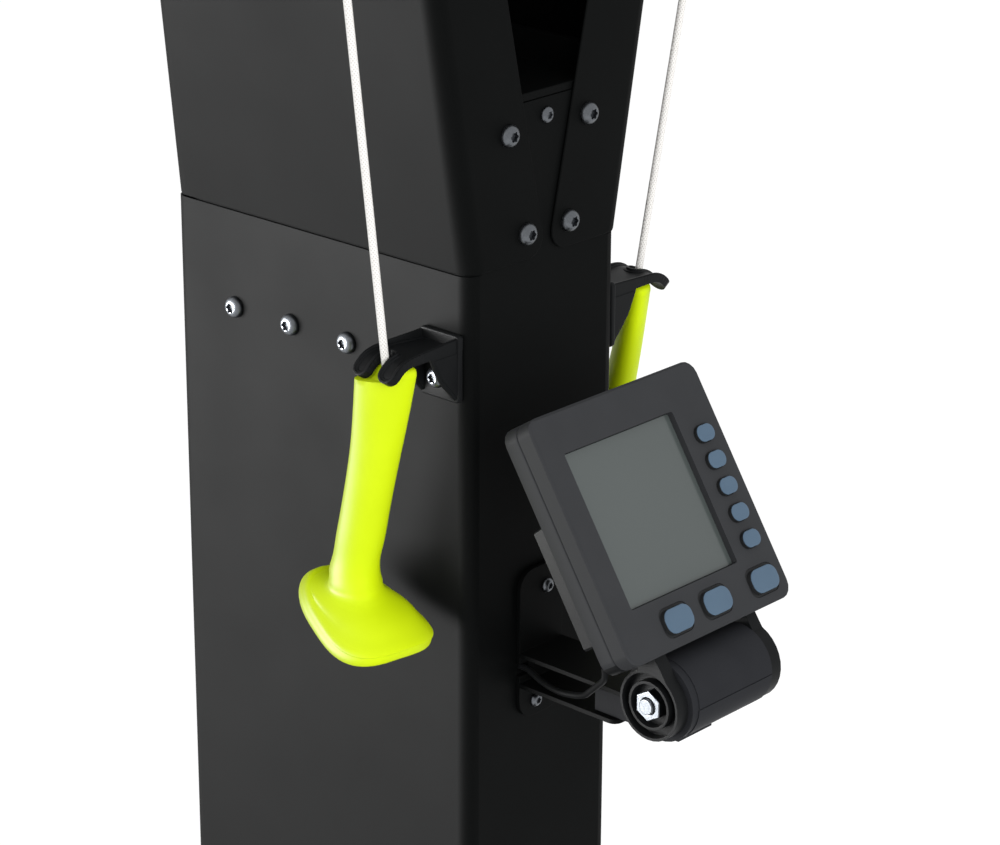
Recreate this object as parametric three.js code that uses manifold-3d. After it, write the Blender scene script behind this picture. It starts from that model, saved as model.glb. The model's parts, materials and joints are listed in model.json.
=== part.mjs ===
// A standing ski trainer: a folded-steel column on a floor stand, two leaning arms that hold an air
// fan, a head with two cord pulleys, two pull handles parked in moulded holders and a tilting monitor.
// Millimetres. +X is the machine's right hand as it faces the user, -Y its front, +Z up.
// The origin is on the floor, below the middle of the stand.
import * as THREE from 'three';
import { mergeVertices } from 'three/addons/utils/BufferGeometryUtils.js';
import Module from 'manifold-3d';

const wasm = await Module();
wasm.setup();

// Whole machine
const stand_width = 600;
const stand_depth = 1270;
const seam_height = 1390;
const seat_gap = 0.3;
const seam_gap = 1.2;
const cut_overrun = 4;
const weld_distance = 0.0005;

// Floor stand
const pad_height = 12;
const pad_radius = 24;
const pad_inset = 55;
const cross_foot_height = 34;
const cross_foot_depth = 80;
const cross_foot_margin = 20;
const cross_foot_corner = 6;
const cross_foot_wall = 3;
const deck_thickness = 24;
const deck_corner_radius = 48;
const deck_edge_bevel = 3;
const tread_width = 14;
const tread_relief = 2;
const tread_pitch = 52;
const tread_side_margin = 55;
const tread_front_margin = 70;
const tread_back_margin = 150;
const rear_space = 150;

// Column
const column_width = 132;
const column_depth = 252;
const column_wall = 2.5;
const column_corner = 9.5;
const column_rise = 96;
const column_foot_width = 210;
const column_foot_margin = 38;
const column_foot_rear = 132;
const column_foot_thickness = 8;
const column_foot_corner = 18;
const gusset_width = 92;
const gusset_height = 420;
const gusset_depth = 118;
const gusset_wall = 3;
const gusset_nose = 22;

// Arms
const arm_sheet = 1.6;
const arm_proud = 0.6;
const arm_lean_deg = 10.2;
const arm_corner = 12;
const arm_height = 650;
const arm_back_draw_deg = 5.4;
const front_flange_gap = 1;
const front_flange_lean_deg = 12.5;
const rear_flange_width = 42;
const flange_corner = 12;
const back_panel_sheet = 1.6;
const back_vent_count = 8;
const back_vent_height = 7;
const back_vent_pitch = 19;
const back_vent_side_margin = 46;

// Button-head screws of the arm flanges, with places measured from the seam and the middle
const screw_head_radius = 6.9;
const screw_head_height = 5;
const screw_radius = 3;
const screw_length = 13;
const lower_screw_offset = 18.7;
const lower_screw_rise = 17.3;
const upper_screw_offset = 34.6;
const upper_screw_rise = 79.8;

// Shelf on the column's top
const shelf_half_width = 58;
const shelf_wall_half_width = 43;
const shelf_sheet = 5;
const shelf_upstand = 18;
const shelf_depth = 226;

// Fan, its housing, guard and damper
const fan_rise_share = 0.754;
const housing_arm_room = 15;
const housing_wall = 3;
const housing_front = 66;
const housing_depth = 92;
const housing_lug_height = 44;
const housing_lug_depth = 26;
const intake_radius = 66;
const hub_boss_radius = 26;
const spoke_width = 12;
const spoke_count = 4;
const guard_thickness = 4;
const guard_rim = 10;
const guard_hub_radius = 24;
const guard_ring_count = 3;
const guard_web = 3.2;
const guard_sector_count = 8;
const guard_spoke = 3.6;
const damper_inner_radius = 31;
const damper_ring_width = 30;
const damper_thickness = 3;
const damper_slot_count = 6;
const damper_slot_deg = 34;
const damper_lever_length = 124;
const damper_lever_width = 12;
const damper_grip_length = 34;
const damper_grip_width = 19;
const fan_housing_room = 12;
const fan_clearance = 8;
const fan_blade_count = 14;
const fan_blade_thickness = 2;
const fan_blade_root = 58;
const fan_blade_sweep_deg = 16;
const fan_plate_thickness = 4;
const fan_hub_radius = 22;
const axle_radius = 6;
const bearing_radius = 16;
const bearing_width = 10;
const bridge_height = 34;
const bridge_thickness = 4;
const bridge_boss_radius = 24;
const drum_radius = 34;
const drum_flange = 4;
const drum_flange_width = 2.5;
const drum_width = 16;
const drum_gap = 2;

// Head
const head_height = 120;
const head_side_room = 52.8;
const head_front = 46;
const head_wall = 3;
const head_corner = 38;
const head_edge_bevel = 6;
const head_plate = 3;
const head_plate_margin = 1;
const head_plate_corner = 8;
const head_web_thickness = 3;
const head_web_set_back = 12;
const head_web_height = 76;
const head_web_side_margin = 26;
const head_opening_cord_room = 12;
const head_opening_front = 22;
const head_opening_back = 120;
const cord_exit_radius = 11;
const head_cord_room = 1;

// Pulleys and drive cords
const pulley_pitch_radius = 28;
const pulley_flange = 3;
const pulley_width = 17;
const pulley_rim_width = 1;
const pulley_groove_width = 6;
const pulley_axle_radius = 5;
const pulley_axle_head_radius = 9;
const pulley_axle_head = 3;
const pulley_nut_length = 6;
const cord_diameter = 4.8;
const cord_end_gap = 0.9;
const cord_lean_out_share = 0.1657;
const cord_lean_front_share = 0.042;

// Handles
const handle_length = 186;
const handle_top_radius = 18.6;
const handle_set_back = 28;
const handle_plate_half_width = 33.2;
const handle_plate_half_depth = 44.6;
const handle_plate_tilt_deg = 17;
const handle_plate_turn_deg = 10.7;
const handle_plate_sag = 6.4;
const handle_plate_taper_share = 0.11;
const handle_plate_squareness = 2.7;
const handle_top_drop = 47;
// Each row: share of the length, share of the set-back, half width and half depth as shares of the top
// radius, and how far the section has turned into the end plate's shape and tilt
const grip_shares = [
  [0, 0, 0.78, 0.78, 0],
  [0.01, 0, 0.93, 0.93, 0],
  [0.03, 0.01, 0.98, 0.98, 0],
  [0.14, 0.1, 0.91, 0.91, 0],
  [0.25, 0.23, 0.84, 0.84, 0],
  [0.36, 0.38, 0.78, 0.78, 0],
  [0.49, 0.58, 0.75, 0.75, 0],
  [0.62, 0.8, 0.75, 0.76, 0.02],
  [0.71, 0.93, 0.79, 0.82, 0.1],
  [0.75, 0.93, 0.87, 0.95, 0.25],
  [0.785, 0.88, 1.07, 1.26, 0.5],
  [0.81, 0.79, 1.38, 1.76, 0.8],
  [0.826, 0.7, 1.64, 2.2, 1],
  [0.84, 0.7, 1.76, 2.37, 1],
  [0.856, 0.736, 1.785, 2.4, 1],
  [0.872, 0.77, 1.75, 2.35, 1],
  [0.884, 0.79, 1.66, 2.24, 1],
];
const grip_widest_row = 14;

// Handle holders
const holder_middle = 22.5;
const holder_width = 34;
const holder_cord_offset = 112;
const holder_plate_height = 42;
const holder_plate_thickness = 4;
const holder_plate_bevel = 1.4;
const holder_top_drop = 38.6;
const holder_reach = 60;
const holder_tip_drop = 13.6;
const holder_floor_thickness = 4;
const holder_rim_height = 1.8;
const holder_rim_width = 3;
const holder_inner_rim_width = 2.2;
const holder_slot_width = 8.4;
const holder_hole_radius = 5;
const holder_gusset_reach = 24;
const holder_grip_gap = 0.6;

// Monitor bracket and pivot
const bracket_middle = -4;
const bracket_width = 39;
const bracket_sheet = 3;
const bracket_top_drop = 197;
const bracket_bottom_drop = 296;
const bracket_corner = 12;
const upper_flange_drop = 250;
const lower_flange_drop = 270.5;
const lower_flange_reach = 81;
const cable_notch_height = 8;
const cable_notch_depth = 8;
const pivot_forward = 126.5;
const pivot_drop = 236.7;
const barrel_radius = 25.4;
const barrel_length = 74;
const barrel_middle = -1;
const barrel_seam_depth = 0.6;
const barrel_seam_width = 0.8;
const barrel_step = 3;
const barrel_step_depth = 1.4;
const saddle_depth = 40;
const saddle_side_margin = 4;
const pivot_bolt_radius = 5;
const pivot_nut_width = 17;
const pivot_nut_length = 7;
const pivot_bolt_tail = 2;

// Monitor
const monitor_lean_deg = 32.9;
const monitor_width = 150;
const monitor_height = 154.3;
const monitor_face_forward = 28.1;
const monitor_bottom_rise = 24.4;
const monitor_depth = 25;
const monitor_corner = 9;
const monitor_edge_bevel = 1.6;
const monitor_split_depth = 12;
const monitor_wall = 3;
const monitor_bulge = 16;
const monitor_bulge_inset = 2;
const monitor_bulge_bottom = 14.3;
const monitor_bulge_height = 83;
const monitor_bulge_slope = 9;
const window_width = 97;
const window_height = 98;
const window_left = 17.9;
const window_top = 25.4;
const window_recess = 2.2;
const window_glass = 2;
const ear_radius = 22;
const ear_left_thickness = 9.6;
const ear_right_thickness = 9;
const ear_right_radius = 24.8;
const ear_recess = 6.4;
const ear_rim = 1.8;
const ear_inner_ring_radius = 15.2;
const ear_inner_ring_wall = 1.7;
const ear_neck_depth = 17;
const ear_neck_margin = 1;

// Monitor buttons
const button_corner = 5;
const side_button_width = 15;
const side_button_height = 10.4;
const side_button_inset = 18.1;
const side_button_top = 44.9;
const side_button_pitch = 17.2;
const side_button_count = 5;
const bottom_button_width = 25;
const bottom_button_height = 17.4;
const bottom_button_drop = 139;
const bottom_button_insets = [48.3, 84, 128.4];
const button_gap = 0.5;
const button_proud = 1.6;
const button_travel = 1.2;
const button_length = 4.6;

// Return bungee inside the column
const bungee_diameter = 10;
const bungee_spread = 24;
const bungee_bottom_rise = 360;
const bungee_pulley_width = 18;
const bungee_axle_radius = 5;

// Monitor cable
const cable_diameter = 4;
const cable_route = [
  [-19, 7, -261],
  [-19, 0, -261],
  [-19.4, -7, -261.2],
  [-22, -17, -262.9],
  [-26, -29, -262.8],
  [-32, -44, -259.9],
  [-38, -59, -255],
  [-44, -73, -248.6],
  [-48.5, -82, -241.5],
  [-54, -93.5, -231.4],
  [-59, -102, -223.5],
  [-62, -104.3, -214.5],
];
const cable_hole_radius = 2.35;
const cable_hole_offset = -19;
const cable_hole_drop = 261;

// Facets
const arc_steps = 4;
const small_arc_steps = 2;
const small_round_steps = 12;
const round_steps = 20;
const pulley_steps = 24;
const grip_steps = 20;
const fine_steps = 32;
const hexagon_sides = 6;

// Places worked out from the sizes above
const pad_top = pad_height;
const foot_bottom = pad_top + seat_gap;
const foot_top = foot_bottom + cross_foot_height;
const deck_bottom = foot_top + seat_gap;
const deck_top = deck_bottom + deck_thickness;
const column_bottom = deck_top + seat_gap;
const back_y = stand_depth / 2 - rear_space;
const front_y = back_y - column_depth;
const half_column = column_width / 2;
const arm_top = seam_height + arm_height;
const arm_lean = Math.tan(THREE.MathUtils.degToRad(arm_lean_deg));
const flange_lean = Math.tan(THREE.MathUtils.degToRad(front_flange_lean_deg));
const back_draw = Math.tan(THREE.MathUtils.degToRad(arm_back_draw_deg));
const tongue_half_width = half_column + arm_proud - arm_sheet - seat_gap;
const tongue_depth = column_depth - arm_sheet - seat_gap - back_draw * column_rise;
const tongue_corner = arm_corner - arm_sheet - seat_gap;
const fan_z = seam_height + arm_height * fan_rise_share;
const head_top = arm_top + head_height;
const holder_y = front_y + holder_middle;
const cord_foot_z = seam_height - handle_top_drop;
const axle_start_y = front_y + seat_gap;
const drum_start_y = axle_start_y + bridge_thickness + bearing_width + drum_gap;
const head_plate_top = arm_top + seat_gap + head_plate;
const pulley_rise = head_plate_top + head_web_height / 2 + pulley_axle_head;
const cord_lean = Math.atan(cord_lean_out_share);
const pivot_y = front_y - pivot_forward;
const pivot_z = seam_height - pivot_drop;

// The outer half width of the arms at a height, and where their back faces are there
const armHalfWidth = (z) => half_column + arm_proud + arm_lean * (z - seam_height);
const armBack = (z) => back_y - back_draw * (z - seam_height);
const flangeEdge = (z) => front_flange_gap / 2 + flange_lean * (z - seam_height);
const housing_radius = armHalfWidth(fan_z) - arm_sheet - housing_arm_room;
const fan_radius = housing_radius - fan_housing_room;

// Materials
const paint = (name, color, roughness, metalness) => {
  const material = new THREE.MeshStandardMaterial({ color, roughness, metalness });
  material.name = name;
  return material;
};
const black_steel = paint('black powder-coated steel', 0x2a2b2d, 0.6, 0.2);
const deck_board = paint('black textured deck', 0x242526, 0.85, 0);
const rubber = paint('black rubber', 0x151515, 0.9, 0);
const black_plastic = paint('black moulded plastic', 0x1b1c1d, 0.4, 0);
const monitor_plastic = paint('charcoal monitor plastic', 0x37383a, 0.5, 0);
const button_rubber = paint('slate blue button', 0x52677b, 0.6, 0);
const lcd_glass = paint('grey display glass', 0x555d5c, 0.25, 0);
const lime_grip = paint('lime moulded grip', 0xd4f400, 0.5, 0);
const white_cord = paint('white braided cord', 0xe8e6e1, 0.8, 0);
const bright_zinc = paint('bright zinc plate', 0xd0d2d4, 0.25, 1);
const grey_aluminium = paint('grey cast aluminium', 0x9a9c9f, 0.45, 0.9);
const bungee_cover = paint('black bungee', 0x1e1e20, 0.8, 0);

// Solids and meshes
function cleaned(geometry) {
  const bare = new THREE.BufferGeometry();
  bare.setAttribute('position', geometry.attributes.position.clone());
  if (geometry.index) bare.setIndex(geometry.index.clone());
  const merged = mergeVertices(bare, weld_distance);
  const index = merged.index.array;
  const kept = [];
  for (let i = 0; i < index.length; i += 3) {
    const [a, b, c] = [index[i], index[i + 1], index[i + 2]];
    if (a !== b && b !== c && c !== a) kept.push(a, b, c);
  }
  merged.setIndex(kept);
  return signedVolume(merged) < 0 ? flipped(merged) : merged;
}

function signedVolume(geometry) {
  const place = geometry.attributes.position;
  const index = geometry.index.array;
  const [a, b, c] = [new THREE.Vector3(), new THREE.Vector3(), new THREE.Vector3()];
  let sum = 0;
  for (let i = 0; i < index.length; i += 3) {
    a.fromBufferAttribute(place, index[i]);
    b.fromBufferAttribute(place, index[i + 1]);
    c.fromBufferAttribute(place, index[i + 2]);
    sum += a.dot(b.cross(c));
  }
  return sum;
}

function flipped(geometry) {
  const index = geometry.index.array;
  for (let i = 0; i < index.length; i += 3) [index[i], index[i + 1]] = [index[i + 1], index[i]];
  return geometry;
}

function solidOf(geometry) {
  const mesh = cleaned(geometry);
  return new wasm.Manifold(new wasm.Mesh({
    numProp: 3,
    vertProperties: Float32Array.from(mesh.attributes.position.array),
    triVerts: Uint32Array.from(mesh.index.array),
  }));
}

function geometryOf(manifold) {
  const mesh = manifold.getMesh();
  const geometry = new THREE.BufferGeometry();
  geometry.setAttribute('position', new THREE.BufferAttribute(new Float32Array(mesh.vertProperties), 3));
  geometry.setIndex(new THREE.BufferAttribute(new Uint32Array(mesh.triVerts), 1));
  return geometry;
}

function join(...pieces) {
  return geometryOf(pieces.map(solidOf).reduce((whole, piece) => whole.add(piece)));
}

function cut(base, ...tools) {
  return geometryOf(tools.map(solidOf).reduce((whole, tool) => whole.subtract(tool), solidOf(base)));
}

const common = (a, b) => geometryOf(solidOf(a).intersect(solidOf(b)));

const mirrored = (geometry) => cleaned(geometry.clone().scale(-1, 1, 1));

// Outlines are drawn flat, then set upright: floorPrism along Z, frontPrism along Y, sidePrism along X
function outline(points) {
  return new THREE.Shape(points.map(([x, y]) => new THREE.Vector2(x, y)));
}

function roundedRect(width, height, radius, x = 0, y = 0) {
  const [w, h] = [width / 2 - radius, height / 2 - radius];
  const shape = new THREE.Shape();
  shape.absarc(x + w, y - h, radius, -Math.PI / 2, 0, false);
  shape.absarc(x + w, y + h, radius, 0, Math.PI / 2, false);
  shape.absarc(x - w, y + h, radius, Math.PI / 2, Math.PI, false);
  shape.absarc(x - w, y - h, radius, Math.PI, 1.5 * Math.PI, false);
  shape.closePath();
  return shape;
}

function box(x0, x1, y0, y1, z0, z1) {
  const geometry = new THREE.BoxGeometry(x1 - x0, y1 - y0, z1 - z0);
  return geometry.translate((x0 + x1) / 2, (y0 + y1) / 2, (z0 + z1) / 2);
}

function prism(shape, depth, bevel = 0, segments = small_arc_steps) {
  return new THREE.ExtrudeGeometry(shape, {
    depth: depth - 2 * bevel,
    curveSegments: segments,
    bevelEnabled: bevel > 0,
    bevelThickness: bevel,
    bevelSize: bevel,
    bevelOffset: -bevel,
    bevelSegments: 1,
  }).translate(0, 0, bevel);
}

const floorPrism = (shape, z0, z1, bevel = 0) => prism(shape, z1 - z0, bevel).translate(0, 0, z0);

const frontPrism = (shape, y0, y1, bevel = 0, segments = small_arc_steps) => (
  prism(shape, y1 - y0, bevel, segments).rotateX(Math.PI / 2).translate(0, y1, 0)
);

function sidePrism(shape, x0, x1, bevel = 0) {
  const turn = new THREE.Matrix4().set(0, 0, 1, x0, 1, 0, 0, 0, 0, 1, 0, 0, 0, 0, 0, 1);
  return prism(shape, x1 - x0, bevel).applyMatrix4(turn);
}

function rodY(radius, y0, y1, x, z, steps = round_steps) {
  return new THREE.CylinderGeometry(radius, radius, y1 - y0, steps).translate(x, (y0 + y1) / 2, z);
}

function rodX(radius, x0, x1, y, z, steps = round_steps) {
  const rod = new THREE.CylinderGeometry(radius, radius, x1 - x0, steps).rotateZ(Math.PI / 2);
  return rod.translate((x0 + x1) / 2, y, z);
}

function rodZ(radius, z0, z1, x, y, steps = round_steps) {
  const rod = new THREE.CylinderGeometry(radius, radius, z1 - z0, steps).rotateX(Math.PI / 2);
  return rod.translate(x, y, (z0 + z1) / 2);
}

function coneZ(bottom_radius, top_radius, z0, z1, x, y) {
  const cone = new THREE.CylinderGeometry(top_radius, bottom_radius, z1 - z0, fine_steps).rotateX(Math.PI / 2);
  return cone.translate(x, y, (z0 + z1) / 2);
}

// A turned piece about a line along Y: its profile is [radius, distance along Y] pairs
function turnedY(profile, x, y, z, steps = fine_steps) {
  const points = profile.map(([r, along]) => new THREE.Vector2(r, along));
  return new THREE.LatheGeometry(points, steps).translate(x, y, z);
}

// A body between outlines with as many points each, every outline given as [x, y, z] points
function loft(sections) {
  const count = sections[0].length;
  const index = [];
  for (let s = 0; s + 1 < sections.length; s += 1) {
    for (let i = 0; i < count; i += 1) {
      const j = (i + 1) % count;
      const [a, b] = [s * count + i, s * count + j];
      index.push(a, b, b + count, a, b + count, a + count);
    }
  }
  const flat = (section) => section.map(([x, y]) => new THREE.Vector2(x, y));
  const last = (sections.length - 1) * count;
  for (const [a, b, c] of THREE.ShapeUtils.triangulateShape(flat(sections[0]), [])) index.push(c, b, a);
  for (const [a, b, c] of THREE.ShapeUtils.triangulateShape(flat(sections.at(-1)), [])) {
    index.push(last + a, last + b, last + c);
  }
  const geometry = new THREE.BufferGeometry();
  geometry.setAttribute('position', new THREE.Float32BufferAttribute(sections.flat(2), 3));
  geometry.setIndex(index);
  return cleaned(geometry);
}

function tube(curve, diameter, steps, sides) {
  const section = new THREE.Shape();
  section.absarc(0, 0, diameter / 2, 0, 2 * Math.PI, false);
  return new THREE.ExtrudeGeometry(section, { extrudePath: curve, steps, curveSegments: sides });
}

const machine = new THREE.Group();

function add(name, geometry, material, group = machine) {
  const shape = cleaned(geometry).toNonIndexed();
  shape.computeVertexNormals();
  const mesh = new THREE.Mesh(shape, material);
  mesh.name = name;
  group.add(mesh);
  return mesh;
}

// Floor stand
function addStand() {
  const foot_x = stand_width / 2 - pad_inset;
  const foot_y = stand_depth / 2 - cross_foot_margin - cross_foot_depth / 2;
  for (const [end, y] of [['front', -foot_y], ['rear', foot_y]]) {
    add(`cross_foot_${end}`, crossFoot(y), black_steel);
    for (const [side, x] of [['left', -foot_x], ['right', foot_x]]) {
      add(`foot_pad_${end}_${side}`, rodZ(pad_radius, 0, pad_top, x, y), rubber);
    }
  }
  add('deck', deckBoard(), deck_board);
}

// A length of box tube that runs across the stand
function crossFoot(y) {
  const half = stand_width / 2 - cross_foot_margin;
  const mid_z = (foot_bottom + foot_top) / 2;
  const section = (inset) => roundedRect(
    cross_foot_depth - 2 * inset, cross_foot_height - 2 * inset, cross_foot_corner - inset, y, mid_z,
  );
  return cut(
    sidePrism(section(0), -half, half),
    sidePrism(section(cross_foot_wall), -half - cut_overrun, half + cut_overrun),
  );
}

// The deck's walking area is cut with treads across it, in front of the column
function deckBoard() {
  const board = roundedRect(stand_width, stand_depth, deck_corner_radius);
  const length = front_y - tread_back_margin + stand_depth / 2 - tread_front_margin;
  const count = Math.floor(length / tread_pitch);
  const half = stand_width / 2 - tread_side_margin;
  const grooves = [];
  for (let i = 0; i <= count; i += 1) {
    const y = -stand_depth / 2 + tread_front_margin + i * tread_pitch;
    grooves.push(box(-half, half, y, y + tread_width, deck_top - tread_relief, deck_top + cut_overrun));
  }
  return cut(floorPrism(board, deck_bottom, deck_top, deck_edge_bevel), ...grooves);
}

// Column: one welded box with a foot flange, stepped in above the seam where the arms wrap it
function columnBody() {
  const top = seam_height + column_rise;
  const foot_depth = column_foot_margin + column_depth + column_foot_rear;
  const foot_y = front_y - column_foot_margin + foot_depth / 2;
  const foot = roundedRect(column_foot_width, foot_depth, column_foot_corner, 0, foot_y);
  const ring = (half, depth, corner, inset) => (
    roundedRect(2 * (half - inset), depth - 2 * inset, corner - inset, 0, front_y + depth / 2)
  );
  const [y0, y1] = [front_y - cut_overrun, front_y + column_wall + cut_overrun];
  const screw_holes = flangeScrewPlaces().map(([x, z]) => (
    rodY(screw_radius + seat_gap, y0, y1, x, z, small_round_steps)
  ));
  return cut(
    join(
      floorPrism(foot, column_bottom, column_bottom + column_foot_thickness),
      floorPrism(ring(half_column, column_depth, column_corner, 0), column_bottom, seam_height),
      floorPrism(ring(tongue_half_width, tongue_depth, tongue_corner, 0), column_bottom, top),
    ),
    floorPrism(ring(half_column, column_depth, column_corner, column_wall), column_bottom - cut_overrun,
      seam_height - column_wall),
    floorPrism(ring(tongue_half_width, tongue_depth, tongue_corner, column_wall), column_bottom - cut_overrun,
      top + cut_overrun),
    rodY(cable_hole_radius, y0, y1, cable_hole_offset, seam_height - cable_hole_drop, small_round_steps),
    ...screw_holes,
  );
}

function flangeScrewPlaces() {
  return [-1, 1].flatMap((side) => [
    [side * lower_screw_offset, seam_height + lower_screw_rise],
    [side * upper_screw_offset, seam_height + upper_screw_rise],
  ]);
}

// Rear gusset: two triangular cheeks and a nose strip folded from one sheet, behind the column's foot
function rearGusset() {
  const y0 = back_y + seat_gap;
  const z0 = column_bottom + column_foot_thickness + seat_gap;
  const top = z0 + gusset_height;
  const profile = [
    [y0, z0], [y0 + gusset_depth, z0], [y0 + gusset_depth, z0 + gusset_nose],
    [y0 + gusset_nose, top], [y0, top],
  ];
  const inside = [
    [y0 - cut_overrun, z0 - cut_overrun], [y0 + gusset_depth - gusset_wall, z0 - cut_overrun],
    [y0 + gusset_depth - gusset_wall, z0 + gusset_nose], [y0 + gusset_nose - gusset_wall, top + cut_overrun],
    [y0 - cut_overrun, top + cut_overrun],
  ];
  const half = gusset_width / 2;
  return cut(
    sidePrism(outline(profile), -half, half),
    sidePrism(outline(inside), -half + gusset_wall, half - gusset_wall),
  );
}

// Arms: a channel that leans out and narrows front to back as it rises
function channelOutline(z) {
  const [outer, back] = [armHalfWidth(z), armBack(z)];
  const front = front_y - seat_gap - arm_sheet;
  const [r, t] = [arm_corner, arm_sheet];
  const arc = (cx, cy, radius, from, to) => Array.from({ length: arc_steps + 1 }, (_, i) => {
    const a = from + ((to - from) * i) / arc_steps;
    return [cx + radius * Math.cos(a), cy + radius * Math.sin(a), z];
  });
  return [
    [flangeEdge(z), front, z],
    ...arc(outer - r, front + r, r, -Math.PI / 2, 0),
    ...arc(outer - r, back - r, r, 0, Math.PI / 2),
    [outer - rear_flange_width, back, z],
    [outer - rear_flange_width, back - t, z],
    ...arc(outer - r, back - r, r - t, Math.PI / 2, 0),
    ...arc(outer - r, front + r, r - t, 0, -Math.PI / 2),
    [flangeEdge(z), front + t, z],
  ];
}

// What is cut off a square corner to leave it with a radius. The two edges run from the corner along a and b.
function cornerCutter(corner, a, b, radius) {
  const half = a.angleTo(b) / 2;
  const reach = radius / Math.tan(half);
  const middle = a.clone().add(b).normalize().multiplyScalar(radius / Math.sin(half)).add(corner);
  const start = a.clone().multiplyScalar(reach).add(corner);
  const end = b.clone().multiplyScalar(reach).add(corner);
  const from = start.clone().sub(middle);
  const to = end.clone().sub(middle);
  const turn = Math.atan2(from.x * to.y - from.y * to.x, from.dot(to));
  const points = [start.clone().addScaledVector(b, -cut_overrun)];
  points.push(corner.clone().addScaledVector(a, -cut_overrun).addScaledVector(b, -cut_overrun));
  points.push(end.clone().addScaledVector(a, -cut_overrun));
  for (let i = 0; i <= arc_steps; i += 1) {
    points.push(to.clone().rotateAround(new THREE.Vector2(), (-turn * i) / arc_steps).add(middle));
  }
  return new THREE.Shape(points);
}

function rightArm() {
  const bottom = seam_height + seam_gap;
  const sheet = loft([channelOutline(bottom), channelOutline(arm_top)]);
  const corner = new THREE.Vector2(flangeEdge(bottom), bottom);
  const along = new THREE.Vector2(1, 0);
  const up = new THREE.Vector2(flange_lean, 1).normalize();
  const front = front_y - arm_sheet;
  const cutter = frontPrism(cornerCutter(corner, along, up, flange_corner), front - cut_overrun, front + cut_overrun);
  const holes = flangeScrewPlaces().filter(([x]) => x > 0).map(([x, z]) => (
    rodY(screw_radius + seat_gap, front - cut_overrun, front + cut_overrun, x, z, small_round_steps)
  ));
  return cut(sheet, cutter, ...holes);
}

function flangeScrew(x, z) {
  const head_y = front_y - seat_gap - arm_sheet - seat_gap;
  const crown_share = 0.55;
  return turnedY([
    [0, 0],
    [screw_head_radius * crown_share, screw_head_height * (1 - crown_share) / 2],
    [screw_head_radius, screw_head_height * crown_share],
    [screw_head_radius, screw_head_height],
    [screw_radius, screw_head_height],
    [screw_radius, screw_head_height + screw_length],
    [0, screw_head_height + screw_length],
  ], x, head_y - screw_head_height, z, small_round_steps);
}

// Back panel: it lies against the inside of the arms' rear flanges, with vents behind the fan
function backPanel() {
  const bottom = seam_height + column_rise + shelf_sheet + 2 * seat_gap;
  const section = (z) => {
    const half = armHalfWidth(z) - arm_sheet - arm_corner;
    const back = armBack(z) - arm_sheet - seat_gap;
    return [[-half, back - back_panel_sheet, z], [half, back - back_panel_sheet, z], [half, back, z], [-half, back, z]];
  };
  const vents = Array.from({ length: back_vent_count }, (_, i) => {
    const z = fan_z + (i - (back_vent_count - 1) / 2) * back_vent_pitch;
    const half = armHalfWidth(z) - back_vent_side_margin - rear_flange_width / 2;
    const slot = roundedRect(2 * half, back_vent_height, back_vent_height / 2, 0, z);
    const back = armBack(z);
    const front = back - arm_sheet - back_panel_sheet - cut_overrun;
    return frontPrism(slot, front, back + cut_overrun, 0, 1);
  });
  return cut(loft([section(bottom), section(arm_top)]), ...vents);
}

// Shelf: a tray between two upright walls, resting on the column's top edge
function shelfTray() {
  const z0 = seam_height + column_rise + seat_gap;
  const z1 = z0 + shelf_sheet;
  const half = shelf_half_width;
  const [wall, outside] = [shelf_wall_half_width, shelf_wall_half_width + shelf_sheet];
  const top = z1 + shelf_upstand;
  const u = [
    [-half, z0], [half, z0], [half, z1], [outside, z1], [outside, top], [wall, top], [wall, z1],
    [-wall, z1], [-wall, top], [-outside, top], [-outside, z1], [-half, z1],
  ];
  return frontPrism(outline(u), front_y + seat_gap, front_y + shelf_depth);
}

// Fan drive, from the front: bridge with its bearing, two cord drums, damper, guard, fan in its housing
function frontBridge() {
  const [z0, z1] = [fan_z - bridge_height / 2, fan_z + bridge_height / 2];
  const half = (z) => armHalfWidth(z) - arm_sheet - seat_gap - arm_corner;
  const bar = outline([[-half(z0), z0], [half(z0), z0], [half(z1), z1], [-half(z1), z1]]);
  const y1 = axle_start_y + bridge_thickness;
  return cut(
    join(
      frontPrism(bar, axle_start_y, y1),
      rodY(bridge_boss_radius, axle_start_y, y1 + bearing_width, 0, fan_z),
    ),
    rodY(bearing_radius + seat_gap, y1, y1 + bearing_width + cut_overrun, 0, fan_z),
    rodY(axle_radius + seat_gap, axle_start_y - cut_overrun, y1 + cut_overrun, 0, fan_z),
  );
}

function ballBearing(y0) {
  const bore = axle_radius + seat_gap;
  return turnedY([
    [bore, 0], [bearing_radius, 0], [bearing_radius, bearing_width], [bore, bearing_width], [bore, 0],
  ], 0, y0, fan_z, round_steps);
}

function cordDrum(y0) {
  const bore = axle_radius + seat_gap;
  const rim = drum_radius + drum_flange;
  return turnedY([
    [bore, 0], [rim, 0], [rim, drum_flange_width], [drum_radius, drum_flange_width],
    [drum_radius, drum_width - drum_flange_width], [rim, drum_width - drum_flange_width],
    [rim, drum_width], [bore, drum_width], [bore, 0],
  ], 0, y0, fan_z, round_steps);
}

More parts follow.
